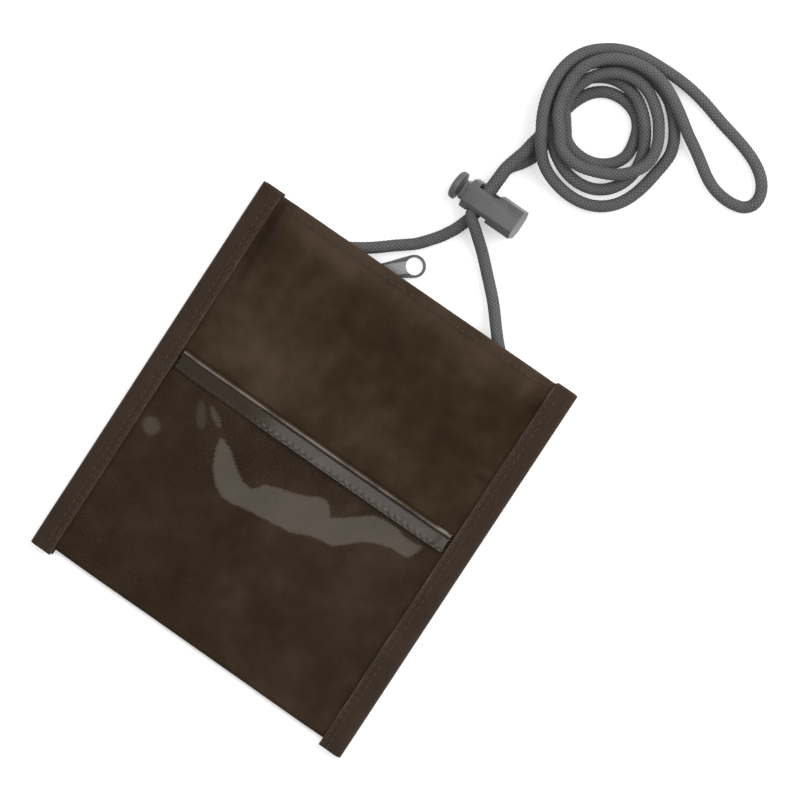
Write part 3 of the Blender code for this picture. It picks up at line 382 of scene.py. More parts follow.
def lead_in(route):
    """A straight run, one cord diameter long, that carries on from a free strand's end."""
    heading = (route[-1] - route[-2]).normalized()
    return [route[-1] + heading * GAP, route[-1] + heading * (GAP + CORD_DIAMETER)]


def sewn_end(node, side):
    """The place in the side seam where the cord's end is sewn down flat."""
    low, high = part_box(node)
    return Vector((low[0] if side < 0 else high[0], CORD_SEAM_Y, low[2] + CORD_RADIUS * FLAT_HEIGHT_SHARE))


def cord_route():
    left = smooth_route(LEFT_ROUTE, FREE_STEP)
    right = smooth_route(RIGHT_ROUTE, FREE_STEP)
    first, second = wound(FIRST_STRAND), wound(SECOND_STRAND)
    loop = smooth_route([first[-1], *LOOP_ROUTE, second[-1]], CORD_RADIUS)
    middle = lead_in(left) + first + loop[1:-1] + second[::-1] + lead_in(right)[::-1]
    runs = [even_steps(run, COIL_STEP) for run in (left, middle, right[::-1])]
    straight = math.ceil(CORD_DIAMETER / COIL_STEP) + 1
    settled = settle(sum(runs, []), len(runs[0]) + straight, len(runs[2]) + straight)
    coil = list(settled[len(runs[0]):len(runs[0]) + len(runs[1])])
    free_left = [sewn_end("cord_end_left", -1), *left]
    free_right = [*right[::-1], sewn_end("cord_end_right", 1)]
    return np.array(even_steps(smooth_route(free_left + coil[1:-1:2] + free_right, RING_STEP), RING_STEP))


def braid_finish():
    """Round braid: rows of small plump picks, with painted shade where they dive under their neighbours."""
    made, start, shader = new_finish("grey_braid")
    along = start.node("ShaderNodeSeparateXYZ", {}, {0: start.node("ShaderNodeUVMap", {"uv_map": "braid"})})
    around = along.also("Y")
    pick = (along * (2 * math.pi)).wave() * (around * (2 * math.pi * BRAID_COLUMNS)).wave() * 0.5 + 0.5
    yarn = (along * (2 * math.pi * 6) + around * (2 * math.pi * 36)).wave() * 0.5 + 0.5
    place = start.node("ShaderNodeTexCoord", output="Object")
    soil = start.node("ShaderNodeTexNoise", {}, {"Vector": place, "Scale": 240.0, "Detail": 4.0})
    # The picks' pattern paints shade into the colour, darker where they dive under their neighbours.
    tone = pick * 0.78 + yarn * 0.12 + soil * 0.30
    colour = start.node("ShaderNodeValToRGB", {"stops": CORD_TONES}, {"Fac": tone})
    height = pick + yarn * 0.15
    bump = start.node("ShaderNodeBump", {}, {"Strength": 0.7, "Distance": 0.0002, "Height": height})
    set_shader(start, shader, Base_Color=colour, Roughness=0.82, Normal=bump)
    set_shader(start, shader, Specular_IOR_Level=0.25)
    return made


def tube_faces(rings, sides):
    """Four-sided faces round a tube, and its two closed ends."""
    faces = []
    for near in range(0, (rings - 1) * sides, sides):
        for step in range(sides):
            following = (step + 1) % sides
            faces.append((near + step, near + following, near + sides + following, near + sides + step))
    return faces + [tuple(reversed(range(sides))), tuple(range((rings - 1) * sides, rings * sides))]


def braided_tube(route):
    """The cord's mesh and its distance along the route: plump picks, and ends pressed flat."""
    forward = np.gradient(route, axis=0)
    forward /= np.linalg.norm(forward, axis=1)[:, None]
    side = np.zeros_like(route)
    side[0] = np.cross(forward[0], (0.0, 0.0, 1.0))
    for index in range(1, len(route)):
        turned = side[index - 1] - forward[index] * np.dot(side[index - 1], forward[index])
        side[index] = turned / np.linalg.norm(turned)
    other = np.cross(forward, side)
    along = distance_along(route)
    round_share = np.clip(np.minimum(along, along[-1] - along) / FLAT_LENGTH, 0.0, 1.0)
    angles = np.arange(RING_SIDES) * 2 * math.pi / RING_SIDES
    picks = np.cos(along[:, None] / BRAID_PITCH * 2 * math.pi) * np.cos(angles[None, :] * BRAID_COLUMNS)
    radius = CORD_RADIUS + BRAID_RELIEF * (picks - 0.5) * round_share[:, None]
    cosine, sine = np.cos(angles)[None, :, None], np.sin(angles)[None, :, None]
    outwards = cosine * side[:, None, :] + sine * other[:, None, :]
    width = FLAT_WIDTH_SHARE + (1.0 - FLAT_WIDTH_SHARE) * round_share
    height = FLAT_HEIGHT_SHARE + (1.0 - FLAT_HEIGHT_SHARE) * round_share
    squeeze = np.stack([np.ones_like(width), width, height], axis=1)
    points = route[:, None, :] + radius[:, :, None] * outwards * squeeze[:, None, :]
    return points.reshape(-1, 3), along


cord_places = cord_route()
cord_points, cord_along = braided_tube(cord_places)
neck_cord = new_piece("neck_cord", cord_points, tube_faces(len(cord_places), RING_SIDES), braid_finish())
braid_map = neck_cord.data.uv_layers.new(name="braid")
turns = np.arange(RING_SIDES) / RING_SIDES
near_u = np.repeat(cord_along[:-1] / BRAID_PITCH, RING_SIDES)
far_u = np.repeat(cord_along[1:] / BRAID_PITCH, RING_SIDES)
near_v = np.tile(turns, len(cord_places) - 1)
far_v = near_v + 1 / RING_SIDES
corners = np.stack([near_u, near_v, near_u, far_v, far_u, far_v, far_u, near_v], axis=1).ravel()
map_values = np.zeros(len(braid_map.data) * 2)
map_values[:len(corners)] = corners
braid_map.data.foreach_set("uv", map_values)
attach(neck_cord, "root")
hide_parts("cord_left", "cord_right", "cord_coil", "cord_end_left", "cord_end_right")


# The cord lock.
# A moulded grey barrel with a hole across it, and a sprung plunger with a round head. Both
# strands of the cord run through the holes, and the spring pinches them until it is pressed.
LOCK_EDGE = 0.0005
PLUNGER_EDGE = 0.00025
MOULDED_TONES = [(0.30, (0.082, 0.082, 0.083)), (0.70, (0.106, 0.106, 0.106))]
SPRING_TONES = [(0.35, (0.28, 0.28, 0.28)), (0.65, (0.42, 0.42, 0.41))]


def moulded_finish(name, tones, roughness, metallic, grain):
    """Moulded or cast material: a fine grain, faint mottling and a slightly uneven gloss."""
    made, start, shader = new_finish(name)
    place = start.node("ShaderNodeTexCoord", output="Object")
    mottle = start.node("ShaderNodeTexNoise", {}, {"Vector": place, "Scale": 260.0, "Detail": 3.0})
    fine = start.node("ShaderNodeTexNoise", {}, {"Vector": place, "Scale": 2600.0, "Detail": 2.0})
    colour = start.node("ShaderNodeValToRGB", {"stops": tones}, {"Fac": mottle * 0.7 + fine * 0.3})
    bump = start.node("ShaderNodeBump", {}, {"Strength": grain, "Distance": 0.00003, "Height": fine + mottle})
    uneven = mottle * 0.12 + (roughness - 0.06)
    set_shader(start, shader, Base_Color=colour, Roughness=uneven, Metallic=metallic, Normal=bump)
    return made


def softened_copy(node, edge, finish, body):
    """A copy of a hard node with its doubles merged and its edges rounded."""
    shape = bmesh.new()
    shape.from_mesh(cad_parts[node].data)
    bmesh.ops.remove_doubles(shape, verts=shape.verts[:], dist=GAP / 100)
    bmesh.ops.dissolve_limit(shape, angle_limit=math.radians(1), verts=shape.verts[:], edges=shape.edges[:])
    data = bpy.data.meshes.new(node + "_finished")
    shape.to_mesh(data)
    shape.free()
    data.materials.clear()
    data.materials.append(finish)
    piece = bpy.data.objects.new(node + "_finished", data)
    bpy.context.scene.collection.objects.link(piece)
    rounding = piece.modifiers.new("rounding", "BEVEL")
    rounding.width = edge
    rounding.segments = 3
    rounding.angle_limit = math.radians(25)
    rounding.harden_normals = True
    data.shade_smooth()
    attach(piece, body)
    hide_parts(node)
    return piece


lock_finish = moulded_finish("moulded_grey", MOULDED_TONES, 0.42, 0.0, 0.35)
barrel = softened_copy("lock_barrel", LOCK_EDGE, lock_finish, "lock")
plunger = softened_copy("lock_plunger", PLUNGER_EDGE, lock_finish, "plunger")
lock_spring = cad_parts["lock_spring"]
lock_spring.material_slots[0].material = moulded_finish("spring_wire", SPRING_TONES, 0.3, 1.0, 0.2)


# The back panel.
# Brown nylon in a plain weave, hemmed at the top, with a slot cut across it for the zip. It is
# flat on the table and is sewn into the side bindings with the layers above it.
SEAM_X = 0.0545
CROWN_X = 0.0475
SHEET_EDGE_X = 0.06165
CLOTH = 0.0004
LAYER_STEP = 0.0007
BACK_SEAM_Z = 0.0009
INNER_BOTTOM_Y = -0.0692
BACK_TOP_Y = 0.0692
ZIP_Y = 0.0605
SLOT_HALF_LENGTH = 0.0435
SLOT_HALF_WIDTH = 0.0050
BACK_AT_ZIP_Z = 0.0025
BACK_KNOTS = [(0.0250, 0.0), (ZIP_Y - SLOT_HALF_WIDTH, BACK_AT_ZIP_Z)]
SHEET_STEP = 0.0008
THREAD = 0.00040
HEM_START_Y = 0.0677
NYLON_TONES = [
    (0.30, (0.019, 0.0088, 0.0020)), (0.50, (0.031, 0.0166, 0.0062)), (0.75, (0.056, 0.0345, 0.0210)),
]
# Painted highlights on the nylon: a paler band below the hem, and a broad paler patch on the upper front.
HEM_HIGHLIGHT_WIDTH = 0.006
HEM_HIGHLIGHT = 0.17
HIGHLIGHT_PATCH_CENTRE = (-0.0330, 0.0310, 0.0035)
HIGHLIGHT_PATCH_REACH = (0.028, 0.006)
HIGHLIGHT_PATCH_STRENGTH = 0.18


def smooth_step(value):
    value = np.clip(value, 0.0, 1.0)
    return value * value * (3.0 - 2.0 * value)


def follow(knots, y):
    """Height on a smooth curve through knots, which are (y, z) pairs in rising y."""
    height = np.full_like(y, knots[0][1])
    for (y0, z0), (y1, z1) in zip(knots, knots[1:]):
        height = height + (z1 - z0) * smooth_step((y - y0) / (y1 - y0))
    return height


def pouch_height(x, y, seam_z, knots):
    """Underside of a layer: level in the side seams, and bulging between them."""
    crown = smooth_step((SEAM_X - np.abs(x)) / (SEAM_X - CROWN_X))
    return seam_z + crown * (follow(knots, y) - seam_z)


def soft_waves(x, y, seed, length, height):
    """Slow uneven waves in cloth, which fade out before the side seams."""
    chance = np.random.default_rng(seed)
    total = np.zeros_like(x)
    for heading, phase, stretch in chance.random((7, 3)):
        turn = 2 * math.pi * heading
        reach = length * (0.7 + 0.8 * stretch)
        total = total + np.cos(2 * math.pi * ((x * math.cos(turn) + y * math.sin(turn)) / reach + phase))
    return height * total / math.sqrt(7) * smooth_step((SEAM_X - np.abs(x)) / 0.012)


def steps_between(*keys):
    """Grid lines that pass through every key, about one sheet step apart."""
    places = [keys[0]]
    for start, end in zip(keys, keys[1:]):
        count = max(1, round((end - start) / SHEET_STEP))
        places += [start + (end - start) * index / count for index in range(1, count + 1)]
    return np.array(places)


def grid_faces(rows, columns):
    """Four-sided faces between the points of a grid, row by row."""
    corners = [row * columns + column for row in range(rows - 1) for column in range(columns - 1)]
    return [(corner, corner + 1, corner + columns + 1, corner + columns) for corner in corners]


def sheet_piece(name, x, y, z, thickness, finish, left_out=None):
    """A cloth sheet as a grid of its underside, with its thickness laid on top."""
    points = np.stack([x, y, z], axis=2).reshape(-1, 3)
    faces = grid_faces(*x.shape)
    if left_out:
        faces = [face for face in faces if not left_out(*(points[face[0]] + points[face[2]])[:2] / 2)]
    piece = new_piece(name, points, faces, finish)
    shape = bmesh.new()
    shape.from_mesh(piece.data)
    bmesh.ops.delete(shape, geom=[v for v in shape.verts if not v.link_faces], context="VERTS")
    shape.to_mesh(piece.data)
    shape.free()
    wall = piece.modifiers.new("wall", "SOLIDIFY")
    wall.thickness = thickness
    wall.offset = 1.0
    return piece


def rising(shade, start, end, most):
    """A tone that rises from nothing where the shade is at its start, to the most at its end."""
    reach = {"Value": shade, "From Min": start, "From Max": end, "To Max": most}
    return shade.node("ShaderNodeMapRange", {}, reach)


def nylon_finish(name, tones, thread, gloss):
    """Plain-woven nylon: over-and-under threads, uneven dye, and a painted highlight below the hem and in a
    broad patch.
    """
    made, start, shader = new_finish(name)
    place = start.node("ShaderNodeTexCoord", output="Object")
    x = start.node("ShaderNodeSeparateXYZ", {}, {0: place})
    weave = (x * (math.pi / thread)).wave() * (x.also("Y") * (math.pi / thread)).wave()
    cloudy = start.node("ShaderNodeTexNoise", {}, {"Vector": place, "Scale": 38.0, "Detail": 3.0})
    blotch = start.node("ShaderNodeTexNoise", {}, {"Vector": place, "Scale": 150.0, "Detail": 5.0})
    fleck = start.node("ShaderNodeTexNoise", {}, {"Vector": place, "Scale": 1900.0, "Detail": 2.0})
    away = start.node("ShaderNodeVectorMath", {"operation": "DISTANCE"}, {0: place, 1: HIGHLIGHT_PATCH_CENTRE}, "Value")
    # Painted highlight: paler towards the hem, and in a round patch on the upper front.
    hem = rising(x.also("Y"), HEM_START_Y - HEM_HIGHLIGHT_WIDTH, HEM_START_Y, HEM_HIGHLIGHT)
    painted_highlight = hem + rising(away, *HIGHLIGHT_PATCH_REACH, HIGHLIGHT_PATCH_STRENGTH)
    tone = cloudy * 0.62 + blotch * 0.26 + fleck * 0.12 + weave * 0.05 + painted_highlight
    colour = start.node("ShaderNodeValToRGB", {"stops": tones}, {"Fac": tone})
    height = weave * 0.6 + fleck * 0.5
    bump = start.node("ShaderNodeBump", {}, {"Strength": 0.5, "Distance": 0.00005, "Height": height})
    rough = gloss - blotch * 0.15
    set_shader(start, shader, Base_Color=colour, Roughness=rough, Normal=bump)
    set_shader(start, shader, Specular_IOR_Level=0.16, Sheen_Weight=0.03, Sheen_Roughness=0.4)
    return made


nylon = nylon_finish("woven_brown_nylon", NYLON_TONES, THREAD, 0.74)
sheet_x = steps_between(-SHEET_EDGE_X, -SLOT_HALF_LENGTH, SLOT_HALF_LENGTH, SHEET_EDGE_X)
back_y = steps_between(INNER_BOTTOM_Y, ZIP_Y - SLOT_HALF_WIDTH, ZIP_Y + SLOT_HALF_WIDTH, BACK_TOP_Y)
x, y = np.meshgrid(sheet_x, back_y)
back_z = pouch_height(x, y, BACK_SEAM_Z, BACK_KNOTS)


def in_zip_slot(x, y):
    return abs(x) < SLOT_HALF_LENGTH and abs(y - ZIP_Y) < SLOT_HALF_WIDTH


back = sheet_piece("back_cloth", x, y, back_z, CLOTH, nylon, in_zip_slot)
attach(back, "root")
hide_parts("back_panel")


# The zip's tapes and coil.
# Two woven tapes lie inside the slot and are sewn to the back panel. Each carries a row of
# nylon coil, and the rows' turns lock into each other when the zip is closed.
TAPE_Z = 0.0032
TRACK_Z = 0.0034
TAPE_INNER_Y = 0.0024
TAPE_OUTER_Y = 0.0080
TOOTH_PITCH = 0.00090
TOOTH_THICKNESS = 0.00062
TOOTH_REACH = 0.0019
TOOTH_RISE = 0.0010
TOOTH_OFFSET = 0.00105
COIL_END_X = 0.0408
TAPE_TONES = [(0.30, (0.012, 0.0095, 0.0075)), (0.70, (0.026, 0.021, 0.017))]
TOOTH_TONES = [(0.35, (0.016, 0.013, 0.010)), (0.65, (0.030, 0.025, 0.020))]


def repeat_tree(name):
    """A tree of Geometry Nodes that strings small rounded beads along the piece's own edges."""
    tree = bpy.data.node_groups.new(name, "GeometryNodeTree")
    face = tree.interface
    face.new_socket("Geometry", in_out="INPUT", socket_type="NodeSocketGeometry")
    for words, kind in (("Pitch", "Float"), ("Bead Size", "Vector"), ("Finish", "Material")):
        face.new_socket(words, in_out="INPUT", socket_type="NodeSocket" + kind)
    face.new_socket("Geometry", in_out="OUTPUT", socket_type="NodeSocketGeometry")
    nodes = tree.nodes
    given, result = nodes.new("NodeGroupInput"), nodes.new("NodeGroupOutput")
    path, points = nodes.new("GeometryNodeMeshToCurve"), nodes.new("GeometryNodeCurveToPoints")
    points.mode = "LENGTH"
    bead, shaped = nodes.new("GeometryNodeMeshUVSphere"), nodes.new("GeometryNodeTransform")
    bead.inputs["Segments"].default_value = 8
    bead.inputs["Rings"].default_value = 6
    bead.inputs["Radius"].default_value = 0.5
    strung, real = nodes.new("GeometryNodeInstanceOnPoints"), nodes.new("GeometryNodeRealizeInstances")
    smooth, coat = nodes.new("GeometryNodeSetShadeSmooth"), nodes.new("GeometryNodeSetMaterial")
    for source, socket, target, end in (
        (given, "Geometry", path, "Mesh"), (path, "Curve", points, "Curve"),
        (given, "Pitch", points, "Length"), (bead, "Mesh", shaped, "Geometry"),
        (given, "Bead Size", shaped, "Scale"), (points, "Points", strung, "Points"),
        (shaped, "Geometry", strung, "Instance"), (points, "Rotation", strung, "Rotation"),
        (strung, "Instances", real, "Geometry"), (real, "Geometry", smooth, "Geometry"),
        (smooth, "Geometry", coat, "Geometry"), (given, "Finish", coat, "Material"),
        (coat, "Geometry", result, "Geometry"),
    ):
        tree.links.new(source.outputs[socket], target.inputs[end])
    return tree


bead_tree = repeat_tree("beads_on_a_line")


def strung_beads(name, lines, pitch, bead_size, finish):
    """A piece of beads, a pitch apart along each line. A bead's third size runs along the line."""
    points = [tuple(point) for line in lines for point in line]
    edges, first = [], 0
    for line in lines:
        edges += [(first + index, first + index + 1) for index in range(len(line) - 1)]
        first += len(line)
    data = bpy.data.meshes.new(name + "_lines")
    data.from_pydata(points, edges, [])
    guide = bpy.data.objects.new(name + "_lines", data)
    bpy.context.scene.collection.objects.link(guide)
    modifier = guide.modifiers.new("beads", "NODES")
    modifier.node_group = bead_tree
    given = {"Pitch": pitch, "Bead Size": bead_size, "Finish": finish}
    for item in bead_tree.interface.items_tree:
        if item.in_out == "INPUT" and item.name in given:
            modifier[item.identifier] = given[item.name]
    evaluated = guide.evaluated_get(bpy.context.evaluated_depsgraph_get())
    made = bpy.data.meshes.new_from_object(evaluated)
    guide.modifiers.remove(modifier)
    bpy.data.objects.remove(guide, do_unlink=True)
    made.name = name
    piece = bpy.data.objects.new(name, made)
    bpy.context.scene.collection.objects.link(piece)
    return piece


tape_finish = nylon_finish("zip_tape_weave", TAPE_TONES, 0.00055, 0.80)
tooth_finish = moulded_finish("zip_coil_nylon", TOOTH_TONES, 0.38, 0.0, 0.2)
for side, word in ((-1, "lower"), (1, "upper")):
    edges_y = sorted((ZIP_Y + side * TAPE_INNER_Y, ZIP_Y + side * TAPE_OUTER_Y))
    x, y = np.meshgrid(steps_between(-SLOT_HALF_LENGTH, SLOT_HALF_LENGTH), steps_between(*edges_y))
    tape = sheet_piece("zip_tape_" + word + "_cloth", x, y, np.full_like(x, TAPE_Z), CLOTH, tape_finish)
    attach(tape, "root")
    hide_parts("zip_tape_" + word)
    row_y = ZIP_Y + side * TOOTH_OFFSET
    start_x = side * TOOTH_PITCH / 4 - COIL_END_X + TOOTH_PITCH / 2
    row = [(start_x, row_y, TRACK_Z), (COIL_END_X - TOOTH_PITCH / 2, row_y, TRACK_Z)]
    tooth_size = (TOOTH_REACH, TOOTH_RISE, TOOTH_THICKNESS)
    teeth = strung_beads("zip_teeth_" + word, [row], TOOTH_PITCH, tooth_size, tooth_finish)
    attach(teeth, "root")
    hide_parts("zip_coil_" + word)


# The zip's stops, slider and pull.
# Cast metal with a dull dark plating. A stop is pinched on at each end of the coil, the slider
# rides along it, and the pull hangs by its eye on the slider's bridge.
METAL_EDGE = 0.00012
WEB_DEPTH = 0.0001
METAL_TONES = [(0.30, (0.085, 0.085, 0.086)), (0.70, (0.120, 0.120, 0.120))]
# Lighter tones for the flat web of the pull.
LIGHTER_WEB_TONES = [(0.30, (0.235, 0.235, 0.235)), (0.70, (0.300, 0.300, 0.298))]
zip_metal = moulded_finish("dull_plated_metal", METAL_TONES, 0.40, 0.85, 0.08)
lighter_web_metal = moulded_finish("lighter_web_plated_metal", LIGHTER_WEB_TONES, 0.50, 0.85, 0.08)
softened_copy("zip_stop_left", METAL_EDGE, zip_metal, "root")
softened_copy("zip_stop_right", METAL_EDGE, zip_metal, "root")
softened_copy("zip_slider", METAL_EDGE, zip_metal, "slider")
zip_pull = softened_copy("zip_pull", METAL_EDGE, zip_metal, "pull")
# The flat faces of the pull's web, sunk inside its rim, take a lighter metal than the rest.
zip_pull.data.materials.append(lighter_web_metal)
facing = max(zip_pull.data.polygons, key=lambda face: face.area).normal.copy()
flats = [face for face in zip_pull.data.polygons if abs(face.normal.dot(facing)) > 0.99]
offsets = [face.center.dot(facing) for face in flats]
lowest, highest = min(offsets), max(offsets)
for face, offset in zip(flats, offsets):
    if min(offset - lowest, highest - offset) > WEB_DEPTH:
        face.material_index = 1


# The divider.
# A plain sheet of the same nylon between the zip pocket and the open pocket. It lies over the
# zip, and its side and bottom edges are sewn in with the other layers.
DIVIDER_SEAM_Z = BACK_SEAM_Z + LAYER_STEP
DIVIDER_KNOTS = [(0.0250, 0.0007), (0.05695, 0.0050), (0.06405, 0.0050), (0.0673, 0.0039)]
x, y = np.meshgrid(sheet_x, steps_between(INNER_BOTTOM_Y, BACK_TOP_Y))
divider_z = pouch_height(x, y, DIVIDER_SEAM_Z, DIVIDER_KNOTS)
divider = sheet_piece("divider_cloth", x, y, divider_z, CLOTH, nylon)
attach(divider, "root")
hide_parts("divider_panel")


# The front panel.
# The same nylon, turned up at the bottom and hemmed along the top with one row of stitches. It
# bulges a little over the cord in its mouth, and puckers where the bindings pull at it.
FRONT_SEAM_Z = DIVIDER_SEAM_Z + LAYER_STEP
FRONT_EDGE_Y = -0.0695
FRONT_TOP_Y = 0.0715
CROWN_RISE = 0.0011
BOTTOM_TURN = 0.0010
LIP_Z = 0.0009
FRONT_KNOTS = [(-0.0706, 0.0027), (0.0250, 0.0034), (0.0635, 0.0095)]
HEM_STEP = 0.00022
LONG_WAVES = (5, 0.046, 0.00030)
SHORT_WAVES = (8, 0.020, 0.00006)
PUCKER_DEPTH = 0.00045
PUCKERS = [
    (-0.0520, 0.0616, 0.0030), (-0.0525, 0.0499, 0.0040),
    (0.0522, 0.0614, 0.0032), (0.0520, 0.0330, 0.0040),
]


def turned_lip(edge_y, height, line_x):
    """Rows that carry a sheet round the bottom fold, from the lip's lower edge up to the flat."""
    rows = [(edge_y, np.full_like(line_x, LIP_Z))]
    for turned in np.linspace(0.0, math.pi / 2, 6):
        y = edge_y + BOTTOM_TURN * (1 - math.cos(turned))
        flat = height(line_x, np.full_like(line_x, edge_y + BOTTOM_TURN))
        rows.append((y, flat - BOTTOM_TURN * (1 - math.sin(turned))))
    return rows


def lipped_sheet(name, edge_y, levels, height, thickness, finish, crown_rise=0.0):
    """A sheet whose bottom edge turns down over the layers under it, and whose top may arch."""
    rows = turned_lip(edge_y, height, sheet_x)
    rows += [(y, height(sheet_x, np.full_like(sheet_x, y))) for y in levels[1:]]
    y = np.array([np.full_like(sheet_x, row_y) for row_y, _ in rows])
    z = np.array([row_z for _, row_z in rows])
    x = np.tile(sheet_x, (len(rows), 1))
    y = y + crown_rise * smooth_step((SEAM_X - np.abs(x)) / (SEAM_X - CROWN_X)) * smooth_step(y / levels[-1])
    return sheet_piece(name, x, y, z, thickness, finish)


def front_height(x, y):
    height = pouch_height(x, y, FRONT_SEAM_Z, FRONT_KNOTS)
    height = height + soft_waves(x, y, *LONG_WAVES) * smooth_step((0.066 - y) / 0.01)
    height = height + soft_waves(x, y, *SHORT_WAVES)
    for pucker_x, pucker_y, reach in PUCKERS:
        away = np.hypot(x - pucker_x, (y - pucker_y) * 1.6) / reach
        height = height + PUCKER_DEPTH * np.exp(-away * away) * np.cos(away * 2.2)
    return height + HEM_STEP * smooth_step((y - HEM_START_Y) / 0.0008)


front_levels = steps_between(FRONT_EDGE_Y + BOTTOM_TURN, FRONT_TOP_Y)
front = lipped_sheet("front_cloth", FRONT_EDGE_Y, front_levels, front_height, CLOTH, nylon, CROWN_RISE)
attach(front, "root")
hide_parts("front_panel")


# The clear window.
# A sheet of soft clear vinyl over the lower half of the front, turned over the bottom edge and
# sewn in at the sides. It has lain rolled, so a wavy ridge stands across it below the band.
VINYL = 0.0004
WINDOW_EDGE_Y = -0.0702
WINDOW_TOP_Y = 0.0099
RIDGE_SLOPE = 0.10
RIDGE_FADE = 0.034
RIDGE_LEFT_X = -0.0288
RIDGE_RIGHT_X = 0.0490
PALE_EDGE = 0.0008
# The ridge's crest, then the line above it where its slope starts, from left to right in mm
RIDGE_LOWER = [
    (-28.7, -7.1), (-27.5, -11.3), (-24.7, -17.1), (-21.1, -20.8), (-17.3, -22.7), (-13.0, -22.9),
    (-8.5, -21.8), (1.0, -20.5), (9.4, -19.3), (15.2, -16.4), (19.0, -15.9), (23.1, -15.1),
    (26.5, -12.3), (30.2, -8.5), (34.7, -6.0), (40.0, -4.6), (46.3, -4.0), (47.5, -1.1), (49.0, 1.4),
]
RIDGE_UPPER = [
    (-28.7, -6.4), (-27.3, -6.1), (-23.3, -7.5), (-18.8, -11.1), (-14.2, -14.0), (-10.8, -14.5),
    (-8.8, -12.9), (-7.6, -10.8), (-2.7, -8.8), (2.5, -7.3), (6.9, -5.5), (10.6, -3.3), (13.6, -3.2),
    (15.2, -4.7), (17.0, -7.3), (20.5, -4.9), (24.5, -1.7), (29.0, 1.8), (33.5, 2.8), (37.1, 2.8),
    (41.4, 1.9), (45.7, 1.7), (48.8, 3.3),
]
# Smaller marks of painted reflection, drawn as pale haze: middle x and y, half length and half width in mm,
# turn, strength
PAINTED_REFLECTION_MARKS = [
    (-38.0, -4.0, 6.2, 2.4, -56, 0.45), (-33.5, -1.8, 5.2, 1.5, -32, 0.70),
    (-50.2, -16.6, 4.2, 3.9, 0, 0.70),
]
# The pale tone and the higher alpha paint the reflection onto the ridge and the smaller marks.
VINYL_TONES = [(0.15, (0.006, 0.003, 0.001)), (0.80, (0.400, 0.385, 0.330))]
CLEAR_ALPHA = 0.045
PAINTED_REFLECTION_ALPHA = 0.066


def line_height(knots, x):
    places = np.array(knots) / 1000
    return np.interp(x, places[:, 0], places[:, 1])


def window_height(x, y):
    plain = pouch_height(x, y, FRONT_SEAM_Z, FRONT_KNOTS) + LAYER_STEP
    low, high = line_height(RIDGE_LOWER, x), line_height(RIDGE_UPPER, x)
    rise = RIDGE_SLOPE * np.clip(high - y, 0.0, np.maximum(high - low, 0.0))
    fade = smooth_step((x + 0.0300) / 0.003) * smooth_step((0.0500 - x) / 0.004)
    fade = fade * np.clip(1.0 - (low - y) / RIDGE_FADE, 0.0, 1.0)
    height = plain + rise * fade
    under = front_height(x, y) + CLOTH + 0.0001
    return np.maximum(height, np.where(np.abs(x) < SEAM_X, under, plain))


def painted_reflection_amount(x, y):
    """How much painted reflection the vinyl carries, drawn as pale haze: along the creased ridge and in the
    smaller marks.
    """
    low, high = line_height(RIDGE_LOWER, x), line_height(RIDGE_UPPER, x)
    inside = smooth_step((y - low) / PALE_EDGE) * smooth_step((high - y) / PALE_EDGE)
    pale = inside * smooth_step((x - RIDGE_LEFT_X) / PALE_EDGE) * smooth_step((RIDGE_RIGHT_X - x) / 0.0020)
    for middle_x, middle_y, long, wide, turn, strength in PAINTED_REFLECTION_MARKS:
        cosine, sine = math.cos(math.radians(turn)), math.sin(math.radians(turn))
        over_x, over_y = x * 1000 - middle_x, y * 1000 - middle_y
        along, across = over_x * cosine + over_y * sine, over_y * cosine - over_x * sine
        pale = np.maximum(pale, strength * smooth_step((1.0 - np.hypot(along / long, across / wide)) / 0.4))
    return pale


def vinyl_finish():
    """Clear plasticised vinyl: see-through and softly glossy, with a painted reflection drawn as pale haze on
    its ridge and marks.
    """
    made, start, shader = new_finish("clear_soft_vinyl")
    place = start.node("ShaderNodeTexCoord", output="Object")
    smear = start.node("ShaderNodeTexNoise", {}, {"Vector": place, "Scale": 60.0, "Detail": 1.0})
    pale = start.node("ShaderNodeSeparateXYZ", {}, {0: start.node("ShaderNodeUVMap", {"uv_map": "pale"})})
    colour = start.node("ShaderNodeValToRGB", {"stops": VINYL_TONES}, {"Fac": pale * 0.9 + smear * 0.1})
    alpha = pale * (PAINTED_REFLECTION_ALPHA - CLEAR_ALPHA) + CLEAR_ALPHA
    set_shader(start, shader, Base_Color=colour, Roughness=smear * 0.10 + 0.20, Alpha=alpha)
    return made


window_levels = steps_between(WINDOW_EDGE_Y + BOTTOM_TURN, WINDOW_TOP_Y)
window = lipped_sheet("clear_window", WINDOW_EDGE_Y, window_levels, window_height, VINYL, vinyl_finish())
# Each corner's share of the painted reflection goes into the pale map.
painted_reflection_map = window.data.uv_layers.new(name="pale")
for loop in window.data.loops:
    spot = window.data.vertices[loop.vertex_index].co
    painted_reflection_map.data[loop.index].uv = (painted_reflection_amount(spot.x, spot.y), 0.0)
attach(window, "root")
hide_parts("window_sheet")


# The window's top band.
# A folded strip of shiny brown plastic, sewn along the vinyl's upper edge with two rows of
# stitches. A thin cord inside its fold stands up as piping.
BAND_BOTTOM_Y = 0.0039
BAND_END_X = 0.0544
PIPING_Y = 0.0102
PIPING_RADIUS = 0.0008
BAND_TOP_Y = 0.0112
BAND_LIFT = 0.0007
BAND_TILT = 0.085
BAND_LEAN = 0.10
BAND_TURN_X = -0.036
BAND_TURN_LENGTH = 0.026
BAND_FACE = 0.0055
BAND_ROW_STEP = 0.00020
BAND_PINCH = 0.00005
PINCH_WIDTH = 0.0006
STITCH_PITCH = 0.0026
# A painted highlight lies along the piping's crest; the last of the band's tones is its colour.
CREST_REACH = (0.0006, 0.0002)
CREST_HIGHLIGHT = 0.42
BAND_TONES = [
    (0.30, (0.022, 0.0130, 0.0062)), (0.70, (0.034, 0.0215, 0.0115)), (1.00, (0.150, 0.122, 0.098)),
]


